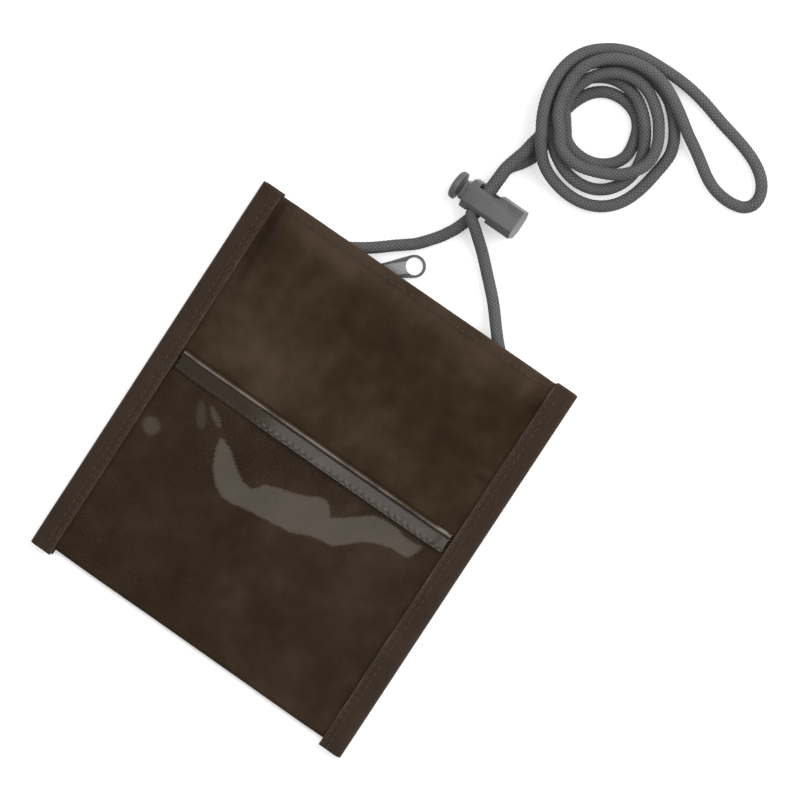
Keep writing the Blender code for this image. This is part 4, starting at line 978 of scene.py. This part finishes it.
def band_height(x, y):
    """Underside of the strip: tilted towards the top where it shines, then the piping."""
    height = window_height(x, np.minimum(y, WINDOW_TOP_Y)) + BAND_LIFT
    tilt = (BAND_TILT + BAND_LEAN) * smooth_step((x - BAND_TURN_X) / BAND_TURN_LENGTH) - BAND_LEAN
    height = height + tilt * np.clip(PIPING_Y - PIPING_RADIUS - y, 0.0, BAND_FACE)
    pinch = np.exp(-(((y - BAND_BOTTOM_Y - 0.001) / PINCH_WIDTH) ** 2))
    height = height + BAND_PINCH * np.cos(2 * math.pi * x / STITCH_PITCH) * pinch
    ridge = np.sqrt(np.clip(1.0 - ((y - PIPING_Y) / PIPING_RADIUS) ** 2, 0.0, 1.0))
    return height + PIPING_RADIUS * ridge


def glossy_strip_finish():
    made, start, shader = new_finish("shiny_brown_strip")
    place = start.node("ShaderNodeTexCoord", output="Object")
    mottle = start.node("ShaderNodeTexNoise", {}, {"Vector": place, "Scale": 120.0, "Detail": 4.0})
    grain = start.node("ShaderNodeTexNoise", {}, {"Vector": place, "Scale": 1400.0, "Detail": 2.0})
    crest = abs(start.node("ShaderNodeSeparateXYZ", {}, {0: place}, "Y") - PIPING_Y)
    # Painted highlight: paler along the piping's crest.
    tone = mottle + rising(crest, *CREST_REACH, CREST_HIGHLIGHT)
    colour = start.node("ShaderNodeValToRGB", {"stops": BAND_TONES}, {"Fac": tone})
    bump = start.node("ShaderNodeBump", {}, {"Strength": 0.4, "Distance": 0.00005, "Height": grain + mottle})
    set_shader(start, shader, Base_Color=colour, Roughness=mottle * 0.10 + 0.17, Normal=bump)
    set_shader(start, shader, Specular_IOR_Level=0.5)
    return made


band_x = np.linspace(-BAND_END_X, BAND_END_X, 273)
x, y = np.meshgrid(band_x, np.arange(BAND_BOTTOM_Y, BAND_TOP_Y, BAND_ROW_STEP))
band = sheet_piece("window_strip", x, y, band_height(x, y), VINYL, glossy_strip_finish())
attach(band, "root")
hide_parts("window_band")


# The side bindings.
# A woven tape is folded over each side seam and holds every layer. Two rows of stitches run
# through it near its inner edge, and its ends are cut and sealed.
WALLET_HALF_WIDTH = 0.0635
WALLET_HALF_HEIGHT = 0.0720
BINDING_WIDTH = 0.0082
BINDING_WALL = 0.0006
BINDING_HEIGHT = 0.0043
STITCH_INSETS = (0.0013, 0.0030)
BINDING_STEP = 0.00065
RIB = 0.00045
TAPE_MIDDLE = BINDING_WIDTH - BINDING_HEIGHT / 2 + math.pi * BINDING_HEIGHT / 4
# The tape's painted highlights: a thin pale line along each inner edge, and a paler fold.
LIP_REACH = (TAPE_MIDDLE - 0.0010, TAPE_MIDDLE - 0.0006)
LIP_HIGHLIGHT = 0.26
FOLD_REACH = (0.0036, 0.0012)
FOLD_HIGHLIGHT = 0.05
STITCH_PINCH = 0.00010
BINDING_WAVES = (0.024, 0.00012)
# The palest stop is the colour of the painted highlights.
BINDING_TONES = [
    (0.25, (0.024, 0.0128, 0.0058)), (0.50, (0.035, 0.0200, 0.0108)), (0.75, (0.048, 0.0300, 0.0185)),
    (0.95, (0.120, 0.0880, 0.0640)),
]


def binding_profile():
    """The tape's outer face round its fold, from below to above: (distance from the lip, height)."""
    fold = BINDING_HEIGHT / 2
    flat = np.linspace(0.0, BINDING_WIDTH - fold, 20)
    turned = np.linspace(-math.pi / 2, math.pi / 2, 15)[1:-1]
    below = [(place, 0.0) for place in flat]
    around = [(BINDING_WIDTH - fold + fold * math.cos(a), fold + fold * math.sin(a)) for a in turned]
    return np.array(below + around + [(place, BINDING_HEIGHT) for place in flat[::-1]])


def binding_finish():
    """Woven tape: ribs along its length, crossed by finer threads, with painted highlights on the fold and
    along its inner edges.
    """
    made, start, shader = new_finish("brown_binding_tape")
    along = start.node("ShaderNodeSeparateXYZ", {}, {0: start.node("ShaderNodeUVMap", {"uv_map": "tape"})})
    across = along.also("Y")
    ribs = (across * (2 * math.pi / RIB)).wave()
    threads = (along * (2 * math.pi / THREAD)).wave()
    stretched = start.node("ShaderNodeCombineXYZ", {}, {0: along * 260.0, 1: across * 1500.0})
    streak = start.node("ShaderNodeTexNoise", {}, {"Vector": stretched, "Scale": 1.0, "Detail": 4.0})
    place = start.node("ShaderNodeTexCoord", output="Object")
    cloudy = start.node("ShaderNodeTexNoise", {}, {"Vector": place, "Scale": 60.0, "Detail": 4.0})
    away = abs(across - TAPE_MIDDLE)
    # Painted highlight: a pale line at the inner edges and a paler fold.
    painted_highlight = rising(away, *LIP_REACH, LIP_HIGHLIGHT) + rising(away, *FOLD_REACH, FOLD_HIGHLIGHT)
    tone = streak * 0.40 + cloudy * 0.45 + ribs * 0.05 + painted_highlight + 0.05
    colour = start.node("ShaderNodeValToRGB", {"stops": BINDING_TONES}, {"Fac": tone})
    height = ribs * 0.5 + ribs * threads * 0.3 + streak
    bump = start.node("ShaderNodeBump", {}, {"Strength": 0.6, "Distance": 0.00007, "Height": height})
    set_shader(start, shader, Base_Color=colour, Roughness=0.74 - streak * 0.1, Normal=bump)
    set_shader(start, shader, Specular_IOR_Level=0.20, Sheen_Weight=0.05, Sheen_Roughness=0.4)
    return made


def make_binding(side, word, finish):
    profile = binding_profile()
    across = distance_along(profile)
    count = round(2 * WALLET_HALF_HEIGHT / BINDING_STEP) + 1
    stations = np.linspace(-WALLET_HALF_HEIGHT, WALLET_HALF_HEIGHT, count)
    inset, y = np.meshgrid(profile[:, 0], stations)
    z = np.tile(profile[:, 1], (count, 1))
    pinch = sum(np.exp(-(((inset - row) / PINCH_WIDTH) ** 2)) for row in STITCH_INSETS)
    pinch = pinch * (0.6 + 0.4 * np.cos(2 * math.pi * y / STITCH_PITCH))
    upwards = np.where(z > BINDING_HEIGHT / 2, 1.0, -1.0)
    z = z - upwards * STITCH_PINCH * pinch
    z = z + np.where(upwards > 0, soft_waves(np.zeros_like(y), y, 11 + side, *BINDING_WAVES), 0.0)
    x = side * (inset + WALLET_HALF_WIDTH - BINDING_WIDTH)
    faces = [face[::-1] if side > 0 else face for face in grid_faces(*y.shape)]
    piece = new_piece("side_binding_" + word, np.stack([x, y, z], axis=2).reshape(-1, 3), faces, finish)
    layer = piece.data.uv_layers.new(name="tape")
    for loop in piece.data.loops:
        row, column = divmod(loop.vertex_index, len(profile))
        layer.data[loop.index].uv = (stations[row], across[column])
    wall = piece.modifiers.new("wall", "SOLIDIFY")
    wall.thickness = BINDING_WALL
    wall.offset = -1.0
    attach(piece, "root")
    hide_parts("binding_" + word)
    return piece


tape_weave = binding_finish()
left_binding = make_binding(-1, "left", tape_weave)
right_binding = make_binding(1, "right", tape_weave)


# The stitching.
# Brown polyester thread, sewn by machine: two rows down each binding, one along the top hem,
# two along the window's band, and one on each side of the zip.
STITCH_SIZE = (0.00046, 0.00030, 0.0020)
THREAD_TONES = [(0.30, (0.026, 0.0165, 0.0100)), (0.70, (0.048, 0.033, 0.0230))]
# Level rows: their name, the piece that they lie on, where they end, their Y, and from which side
LEVEL_ROWS = [
    ("hem_stitches", front, 0.0542, (0.0696,), True),
    ("band_stitches", band, 0.0540, (0.0048, 0.0090), True),
    ("zip_stitches", back, 0.0445, (0.0542, 0.0668), False),
]
thread_finish = moulded_finish("sewing_thread", THREAD_TONES, 0.60, 0.0, 0.6)


def lie_on(piece, line, from_above=True):
    """Places of a line of (x, y) pairs on a piece's upper side, or sunk in its underside."""
    bpy.context.view_layer.update()
    tree = BVHTree.FromObject(piece, bpy.context.evaluated_depsgraph_get())
    way = -1.0 if from_above else 1.0
    placed = []
    for x, y in line:
        hit = tree.ray_cast(Vector((x, y, -way * 0.05)), Vector((0.0, 0.0, way)))[0]
        if hit:
            placed.append((x, y, hit.z + STITCH_SIZE[1] / 4))
    return placed


def straight_line(start, end):
    count = max(2, round(math.dist(start, end) / (STITCH_PITCH / 2)))
    return list(zip(np.linspace(start[0], end[0], count), np.linspace(start[1], end[1], count)))


binding_rows = []
for side, piece in ((-1, left_binding), (1, right_binding)):
    for inset in STITCH_INSETS:
        row_x = side * (WALLET_HALF_WIDTH - BINDING_WIDTH + inset)
        row = straight_line((row_x, -WALLET_HALF_HEIGHT + 0.001), (row_x, WALLET_HALF_HEIGHT - 0.001))
        binding_rows += [lie_on(piece, row), lie_on(piece, row, from_above=False)]
rows = {"binding_stitches": binding_rows}
for name, piece, end_x, row_ys, from_above in LEVEL_ROWS:
    rows[name] = [lie_on(piece, straight_line((-end_x, y), (end_x, y)), from_above) for y in row_ys]
for name, lines in rows.items():
    stitches = strung_beads(name, lines, STITCH_PITCH, STITCH_SIZE, thread_finish)
    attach(stitches, "root")
